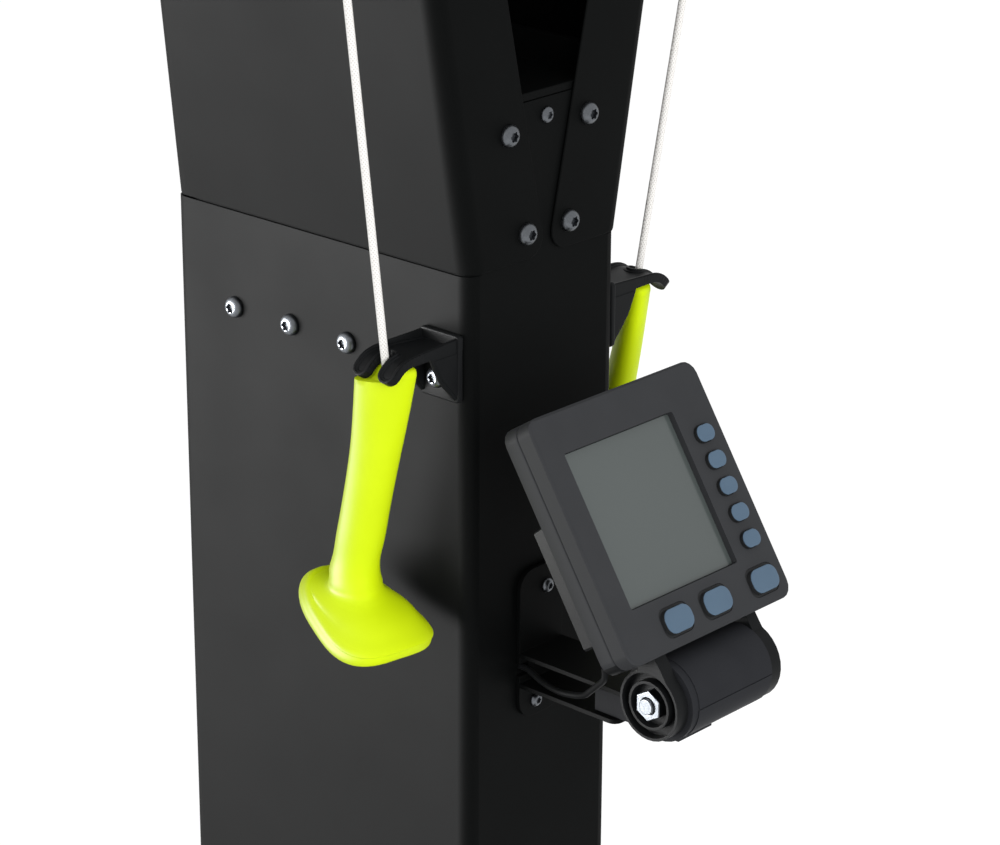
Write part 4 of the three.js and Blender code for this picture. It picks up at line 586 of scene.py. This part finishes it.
def grip_ring(bm, section, side, segments=64):
    """One closed ring of the grip, from a circle pressed to its section."""
    down, back, long, short, plate, turn = section
    tilt = math.radians(PLATE_TILT_DEG) * turn
    swing = math.radians(mix(-OVAL_TURN_DEG, PLATE_TURN_DEG, turn))
    power = 2 / mix(2, PLATE_SQUARENESS, turn)
    half_width = mix(GRIP_RADIUS * short, PLATE_HALF_WIDTH * plate, turn)
    half_depth = mix(GRIP_RADIUS * long, PLATE_HALF_DEPTH * plate, turn)
    ring = bmesh.ops.create_circle(bm, cap_ends=False, radius=1, segments=segments)["verts"]
    for vert in ring:
        c, s = vert.co.x, vert.co.y
        v = math.copysign(abs(s) ** power, s)
        u = math.copysign(abs(c) ** power, c) * (1 - PLATE_TAPER * turn * v)
        across, along = half_width * u, half_depth * v
        x = across * math.cos(swing) - along * math.sin(swing)
        y = across * math.sin(swing) + along * math.cos(swing)
        sag = PLATE_SAG * turn * (x / PLATE_HALF_WIDTH) ** 2
        place = Vector((
            CORD_OFFSET + x,
            CORD_FOOT_Y + GRIP_SET_BACK * back + y * math.cos(tilt) + sag * math.sin(tilt),
            HANDLE_TOP_Z - GRIP_LENGTH * down + y * math.sin(tilt) - sag * math.cos(tilt),
        ))
        seat = ease((place.x - SEAT_START_X) / SEAT_RAMP_X)
        seat *= ease((SEAT_HALF_WIDTH - abs(place.y - CORD_FOOT_Y)) / SEAT_RAMP_Y)
        place.z = mix(place.z, min(place.z, HANDLE_TOP_Z - SEAT_DEPTH), seat)
        vert.co = Vector((side * place.x, place.y, place.z)) / 1000
    return ring


def ring_edges(ring):
    kept = set(ring)
    return [edge for edge in {e for v in ring for e in v.link_edges} if set(edge.verts) <= kept]


def add_handle(name, side):
    """Lime handle: a cord hole in its top, slimmer and set back below, flared into a tilted end plate."""
    hole = [(down, 0, long, short, 0, 0) for down, long, short in (
        (0.045, 0.155, 0.155), (0.008, 0.155, 0.155), (0.002, 0.175, 0.175), (0, 0.2, 0.2),
        (0, 0.45, 0.25), (0, 0.66, 0.3))]
    plate = [(0.889, 0.8, 0, 0, 0.845, 1), (0.89, 0.805, 0, 0, 0.64, 1), (0.89, 0.81, 0, 0, 0.36, 1)]
    sections = [Vector(row) for row in hole]
    sections += smooth_route([Vector(row) for row in GRIP_SECTIONS], 4)
    sections += [Vector(row) for row in plate]
    bm = bmesh.new()
    rings = [grip_ring(bm, section, side) for section in sections]
    ends = [ring_edges(rings[0]), ring_edges(rings[-1])]
    for upper, lower in zip(rings, rings[1:]):
        bmesh.ops.bridge_loops(bm, edges=ring_edges(upper) + ring_edges(lower))
    for end in ends:
        bmesh.ops.edgeloop_fill(bm, edges=end)
    bmesh.ops.recalc_face_normals(bm, faces=bm.faces)
    piece = link_mesh(f"grip_{name}", bm, LIME, 42)
    stand_for(piece, f"handle_{name}", "lime_grip", f"handle_{name}")


# Holders

HOLDER_TOP = -38.6
HOLDER_THICKNESS = 5.8
HOLDER_WALL_X = 66.3
HOLDER_FRONT = -17
HOLDER_BACK = 15.7
# Back edge from the finger in to the wall plate: share of the way out to the fork's root, place in Y
HOLDER_BACK_EDGE = [(0.8, 15.4), (0.55, 14.2), (0.3, 13), (0, 12.4)]
FINGER_BEND_X = 105.6
FINGER_TIP = (126, -50.6)
FORK_ROOT_X = 110
SLOT_HALF_WIDTH = 4.2
# Steps inward over the moulded rim and down to the tray's floor: width of the step, height above the rim
RIM_START = -0.6
RIM_STEPS = [
    (0.25, -0.3), (0.4, 0), (0.9, 0), (0.25, -0.3), (0.25, -0.8), (0.9, -0.9), (0.3, -1.1), (0.3, -1.6),
]
# The rims rise and the floor sinks towards the wall
RIM_LIFT = 2.6
FLOOR_DROP = 1.9
# Wall plate: front, back, top, bottom, corner radius and thickness
WALL_PLATE = (HOLDER_FRONT - 1.4, 13.6, -35, -77, 3, 4)
# Gussets: foot, place of the free edge at its foot and at the tray, sag of that edge, thickness, places in Y
GUSSET_FOOT_Z = -74.5
GUSSET_REACH = (71.5, 92)
GUSSET_SAG = 5
GUSSET_SHEET = 2.4
GUSSET_PLACES = (HOLDER_FRONT + 0.2, 9.8)


def finger_path():
    """The holder's top line in X and Z from the wall to the finger tips, with its length so far."""
    bend = (118.5, HOLDER_TOP)
    places = [(HOLDER_WALL_X - 4, HOLDER_TOP), (FINGER_BEND_X - 3, HOLDER_TOP)]
    for step in range(13):
        t = step / 12
        places.append(tuple(
            (1 - t) ** 2 * a + 2 * t * (1 - t) * b + t ** 2 * c
            for a, b, c in zip((FINGER_BEND_X, HOLDER_TOP), bend, FINGER_TIP)))
    lengths = [0]
    for (x0, z0), (x1, z1) in zip(places, places[1:]):
        lengths.append(lengths[-1] + math.hypot(x1 - x0, z1 - z0))
    return places, lengths


def bent(place, places, lengths):
    """A point of the flat tongue laid along the finger path."""
    i = max(k for k in range(len(lengths) - 1) if lengths[k] <= max(place.x, 0))
    (x0, z0), (x1, z1) = places[i], places[i + 1]
    span = lengths[i + 1] - lengths[i]
    t = (place.x - lengths[i]) / span
    before = places[max(i - 1, 0)]
    after = places[min(i + 2, len(places) - 1)]
    lean_before = math.atan2(z1 - before[1], x1 - before[0])
    lean_after = math.atan2(after[1] - z0, after[0] - x0)
    lean = mix(lean_before, lean_after, t)
    x = mix(x0, x1, t) - place.z * math.sin(lean)
    z = mix(z0, z1, t) + place.z * math.cos(lean)
    return Vector((x, place.y, z))


def arc_points(x, y, radius, start_deg, end_deg, steps):
    """Points on an arc round a centre, both ends included."""
    return [(x + radius * math.cos(math.radians(a)), y + radius * math.sin(math.radians(a)))
            for a in (mix(start_deg, end_deg, i / steps) for i in range(steps + 1))]


def add_tongue(bm):
    """Forked tray with a rim all round: inset and sunk step by step, then bent down at its fingers."""
    places, lengths = finger_path()
    end = lengths[-1]
    root = FORK_ROOT_X - places[0][0]
    flat = [(0, HOLDER_FRONT)]
    for outer, inner in ((HOLDER_FRONT, -SLOT_HALF_WIDTH), (SLOT_HALF_WIDTH, HOLDER_BACK)):
        radius = (inner - outer) / 2
        if outer == SLOT_HALF_WIDTH:
            flat += arc_points(root, 0, SLOT_HALF_WIDTH, -90, -270, 14)
        flat += arc_points(end - radius, (inner + outer) / 2, radius, -90, 90, 14)
    flat += [(share * root, y) for share, y in HOLDER_BACK_EDGE]
    tray = bm.faces.new([bm.verts.new((x, y, RIM_START)) for x, y in flat])
    border = list(tray.edges)
    for width, height in RIM_STEPS:
        bmesh.ops.inset_region(bm, faces=[tray], thickness=width, use_even_offset=True, use_boundary=True)
        for vert in tray.verts:
            vert.co.z = height
    skirt = bmesh.ops.extrude_edge_only(bm, edges=border)["geom"]
    for item in skirt:
        if isinstance(item, bmesh.types.BMVert):
            item.co.z = -HOLDER_THICKNESS
    open_rim = [item for item in skirt if isinstance(item, bmesh.types.BMEdge) and item.is_boundary]
    bmesh.ops.edgeloop_fill(bm, edges=open_rim)
    for cut in range(int(root) - 12, int(end) + 1):
        bmesh.ops.bisect_plane(
            bm, geom=list(bm.verts) + list(bm.edges) + list(bm.faces), plane_co=(cut + 0.5, 0, 0),
            plane_no=(1, 0, 0))
    for vert in bm.verts:
        near = max(0, 1 - vert.co.x / root)
        if vert.co.z > RIM_START - 0.1:
            vert.co.z += RIM_LIFT * near
        elif vert.co.z > -2:
            vert.co.z -= FLOOR_DROP * near
        vert.co = bent(vert.co, places, lengths)


def add_plate(bm, corners, thickness, push, round_mm, frame_mm=0):
    """A rounded plate: an outline pushed out to its thickness and bevelled, its two faces framed if asked."""
    face = bm.faces.new([bm.verts.new(corner) for corner in corners])
    made = bmesh.ops.extrude_face_region(bm, geom=[face])["geom"]
    verts = [item for item in made if isinstance(item, bmesh.types.BMVert)]
    bmesh.ops.translate(bm, verts=verts, vec=Vector(push) * thickness)
    faces = {face} | {item for item in made if isinstance(item, bmesh.types.BMFace)}
    rims = {edge for item in faces for edge in item.edges}
    bmesh.ops.bevel(bm, geom=list(rims), offset=round_mm, offset_type="OFFSET", segments=3, profile=0.5,
                    affect="EDGES", material=-1)
    if frame_mm:
        broad = sorted(bm.faces, key=lambda item: item.calc_area())[-2:]
        bmesh.ops.inset_individual(bm, faces=broad, thickness=frame_mm, use_even_offset=True)
        bmesh.ops.inset_individual(bm, faces=broad, thickness=0.3, depth=-0.45, use_even_offset=True)


def join_into(bm, other):
    """Adds another bmesh to this one."""
    mesh = bpy.data.meshes.new("part")
    other.to_mesh(mesh)
    other.free()
    bm.from_mesh(mesh)
    bpy.data.meshes.remove(mesh)


def add_holder(name, side):
    """Moulded cord rest: a forked tray on a wall plate, held up by two thin curved gussets."""
    bm = bmesh.new()
    low = HOLDER_TOP - HOLDER_THICKNESS + 1
    free_edge = []
    for step in range(11):
        t = step / 10
        sag = GUSSET_SAG * math.sin(math.pi * t) * (0.3 + t)
        free_edge.append((mix(*GUSSET_REACH, t), mix(GUSSET_FOOT_Z, low, t) - sag))
    gusset = [(HOLDER_WALL_X, GUSSET_FOOT_Z)] + free_edge + [(HOLDER_WALL_X, low)]
    for y in GUSSET_PLACES:
        web = bmesh.new()
        add_plate(web, [(x, y, z) for x, z in gusset], GUSSET_SHEET, (0, 1, 0), 0.5, 1.5)
        join_into(bm, web)
    tongue = bmesh.new()
    add_tongue(tongue)
    join_into(bm, tongue)
    front, back, top, bottom, corner, sheet = WALL_PLATE
    outline = []
    for y, z, start in ((back - corner, top - corner, 0), (front + corner, top - corner, 90),
                        (front + corner, bottom + corner, 180), (back - corner, bottom + corner, 270)):
        outline += arc_points(y, z, corner, start, start + 90, 6)
    add_plate(bm, [(HOLDER_WALL_X, y, z) for y, z in outline], sheet, (1, 0, 0), 1.1)
    for vert in bm.verts:
        vert.co = spot(side * vert.co.x, vert.co.y + CORD_FOOT_Y - FRONT_Y, vert.co.z)
    bmesh.ops.recalc_face_normals(bm, faces=bm.faces)
    piece = link_mesh(f"cord_rest_{name}", bm, BLACK_NYLON, 34)
    stand_for(piece, "machine", "black_plastic", f"holder_{name}")


# Screws

# Half section of a button head, as shares of its radius and height, from its rim to the socket's floor
SCREW_PROFILE = [
    (1, 0), (1, 0.2), (0.97, 0.4), (0.9, 0.6), (0.78, 0.79), (0.64, 0.92), (0.52, 0.985), (0.47, 1),
    (0.43, 0.96), (0.4, 0.5), (0, 0.44),
]
SOCKET_SHARE = 0.44
SOCKET_LOBES = 6
LOBE_SWELL = 0.16
# Places in millimetres from the column's front face and the seam
COLUMN_SCREW_YS = (100, 148.9, 198.3)
COLUMN_SCREW_Z = -62.3
HOLDER_SCREW = (70, 22, -64)
TRAY_SCREW = (0, -0.2, 85.3)
BRACKET_SCREWS = ((1.2, -212), (-8.6, -286))
BRACKET_SHEET = 3.2
FLANGE_FACE_Y = -1.8


def add_button_screw(name, place, out, body, radius=6.9, height=5, nodes=()):
    """Button-head screw: a domed head spun round its axis, with a six-lobed socket pressed into it."""
    bm = bmesh.new()
    verts = [bm.verts.new((x * radius / 1000, 0, z * height / 1000)) for x, z in SCREW_PROFILE]
    edges = [bm.edges.new(pair) for pair in zip(verts, verts[1:])]
    bmesh.ops.spin(bm, geom=verts + edges, cent=(0, 0, 0), axis=(0, 0, 1), angle=2 * math.pi,
                   steps=36, use_merge=True, use_duplicate=False)
    bmesh.ops.remove_doubles(bm, verts=bm.verts, dist=1e-6)
    for vert in bm.verts:
        reach = math.hypot(vert.co.x, vert.co.y) * 1000
        if 0 < reach < radius * SOCKET_SHARE:
            swell = 1 + LOBE_SWELL * math.cos(SOCKET_LOBES * math.atan2(vert.co.y, vert.co.x))
            vert.co.x *= swell
            vert.co.y *= swell
    open_rim = [edge for edge in bm.edges if edge.is_boundary]
    bmesh.ops.edgeloop_fill(bm, edges=open_rim)
    bmesh.ops.recalc_face_normals(bm, faces=bm.faces)
    turn = Vector(out).to_track_quat("Z", "Y").to_matrix().to_4x4()
    bmesh.ops.transform(bm, matrix=Matrix.Translation(place) @ turn, verts=bm.verts)
    piece = link_mesh(name, bm, ZINC, 35)
    stand_for(piece, body, "bright_zinc", *nodes)


def add_screws():
    forward = (0, -1, 0)
    for number in range(1, 5):
        node = f"flange_screw_{number}"
        low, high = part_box(node)
        place = Vector(((low.x + high.x) / 2, spot(0, FLANGE_FACE_Y, 0).y, (low.z + high.z) / 2))
        add_button_screw(f"arm_screw_{number}", place, forward, "machine", nodes=(node,))
    add_button_screw("tray_screw", spot(*TRAY_SCREW), forward, "machine", radius=5, height=2.6)
    for side, word in ((-1, "left"), (1, "right")):
        outward = (side, 0, 0)
        for number, y in enumerate(COLUMN_SCREW_YS, start=1):
            place = spot(side * HALF_COLUMN, y, COLUMN_SCREW_Z)
            add_button_screw(f"column_screw_{word}_{number}", place, outward, "machine")
        x, y, z = HOLDER_SCREW
        add_button_screw(f"holder_screw_{word}", spot(side * x, y, z), outward, "machine",
                         radius=6.5, height=4.4)
    for number, (x, z) in enumerate(BRACKET_SCREWS, start=1):
        add_button_screw(f"bracket_screw_{number}", spot(x, -BRACKET_SHEET, z), forward, "machine",
                         radius=4.6, height=2.8)


# Stage

def looked_at(tree):
    """1 for camera, glossy and transmission rays, 0 for the rays that light the machine."""
    path = add_node(tree, "ShaderNodeLightPath").outputs
    seen = path["Is Camera Ray"]
    for other in ("Is Glossy Ray", "Is Transmission Ray"):
        either = add_node(tree, "ShaderNodeMath", {0: seen, 1: path[other]}, operation="MAXIMUM")
        seen = either.outputs["Value"]
    return seen


def add_floor():
    """Plain pale floor that keeps the machine's shadow."""
    made, tree, shader = start_material("pale_studio_floor", Roughness=0.9, Specular_IOR_Level=0)
    place = add_node(tree, "ShaderNodeTexCoord").outputs["Object"]
    cloud = add_node(tree, "ShaderNodeTexNoise", {"Vector": place, "Scale": 0.7, "Detail": 2})
    tree.links.new(tinted(tree, cloud.outputs["Fac"], "#c9c9c9", "#cfcfcf"), shader.inputs["Base Color"])
    lift = add_node(tree, "ShaderNodeMath", {0: looked_at(tree), 1: 0.5}, operation="MULTIPLY")
    shader.inputs["Emission Color"].default_value = (1, 1, 1, 1)
    tree.links.new(lift.outputs["Value"], shader.inputs["Emission Strength"])
    bm = bmesh.new()
    bmesh.ops.create_circle(bm, cap_ends=True, radius=26, segments=64)
    link_mesh("floor", bm, made)


def light_world():
    """White where it is looked at, a plain soft light where it lights the machine."""
    world = bpy.data.worlds.new("studio")
    world.use_nodes = True
    bpy.context.scene.world = world
    tree = world.node_tree
    tree.nodes.clear()
    strength = add_node(tree, "ShaderNodeMapRange", {"Value": looked_at(tree), "To Min": 0.85, "To Max": 1})
    glow = add_node(tree, "ShaderNodeBackground", {
        "Color": (1, 1, 1, 1), "Strength": strength.outputs["Result"]})
    add_node(tree, "ShaderNodeOutputWorld", {"Surface": glow.outputs["Background"]})


def add_softbox(name, place, target, width, height, watts, lights):
    """A rectangular lamp, out of the camera's sight, that lights only the gloss or only the diffuse part."""
    data = bpy.data.lights.new(name, "AREA")
    data.shape = "RECTANGLE"
    data.size = width
    data.size_y = height
    data.energy = watts
    lamp = bpy.data.objects.new(name, data)
    turn = (Vector(place) - Vector(target)).to_track_quat("Z", "Y").to_matrix().to_4x4()
    lamp.matrix_world = Matrix.Translation(place) @ turn
    lamp.visible_diffuse = lights == "diffuse"
    lamp.visible_glossy = lights == "gloss"
    lamp.visible_camera = False
    bpy.context.scene.collection.objects.link(lamp)


add_camera()
for word, side in (("left", -1), ("right", 1)):
    add_drive_cord(word, side)
add_monitor_cable()
for word, side in (("left", -1), ("right", 1)):
    add_handle(word, side)
    add_holder(word, side)
add_screws()
add_buttons()

done = {node for node, solid in frame["nodes"].items() if solid.hide_render}
for node in sorted(set(frame["nodes"]) - done):
    if node == "monitor_rear":
        black_ears_and_painted_back_shade(finished_copy(node, 0.35, 2, 50, reshape=squarer_bulge))
    elif node.startswith("monitor_"):
        finished_copy(node, 0.35, 2, 50)
    elif node == "lcd_window":
        finished_copy(node, 0.3, reshape=sunk_glass)
    elif node == "pivot_barrel":
        # The barrel takes the lighter nylon, whose base colour carries painted highlight.
        finished_copy(node).data.materials[0] = BARREL_NYLON_PAINTED_HIGHLIGHT
    else:
        finished_copy(node)

add_floor()
light_world()
add_softbox("key", (-3.2, 0.6, 2.2), (0, 0.3, 1.1), 2.4, 3.2, 14, lights="gloss")
add_softbox("left_wall", (-3.0, 2.4, 1.2), (0, 0.3, 1.3), 3.5, 2.4, 1130, lights="gloss")
add_softbox("front_fill", (-1.6, -3.4, 2.2), (0, 0.3, 1.3), 2.4, 2.4, 96, lights="diffuse")
bpy.context.scene.view_settings.view_transform = "Standard"
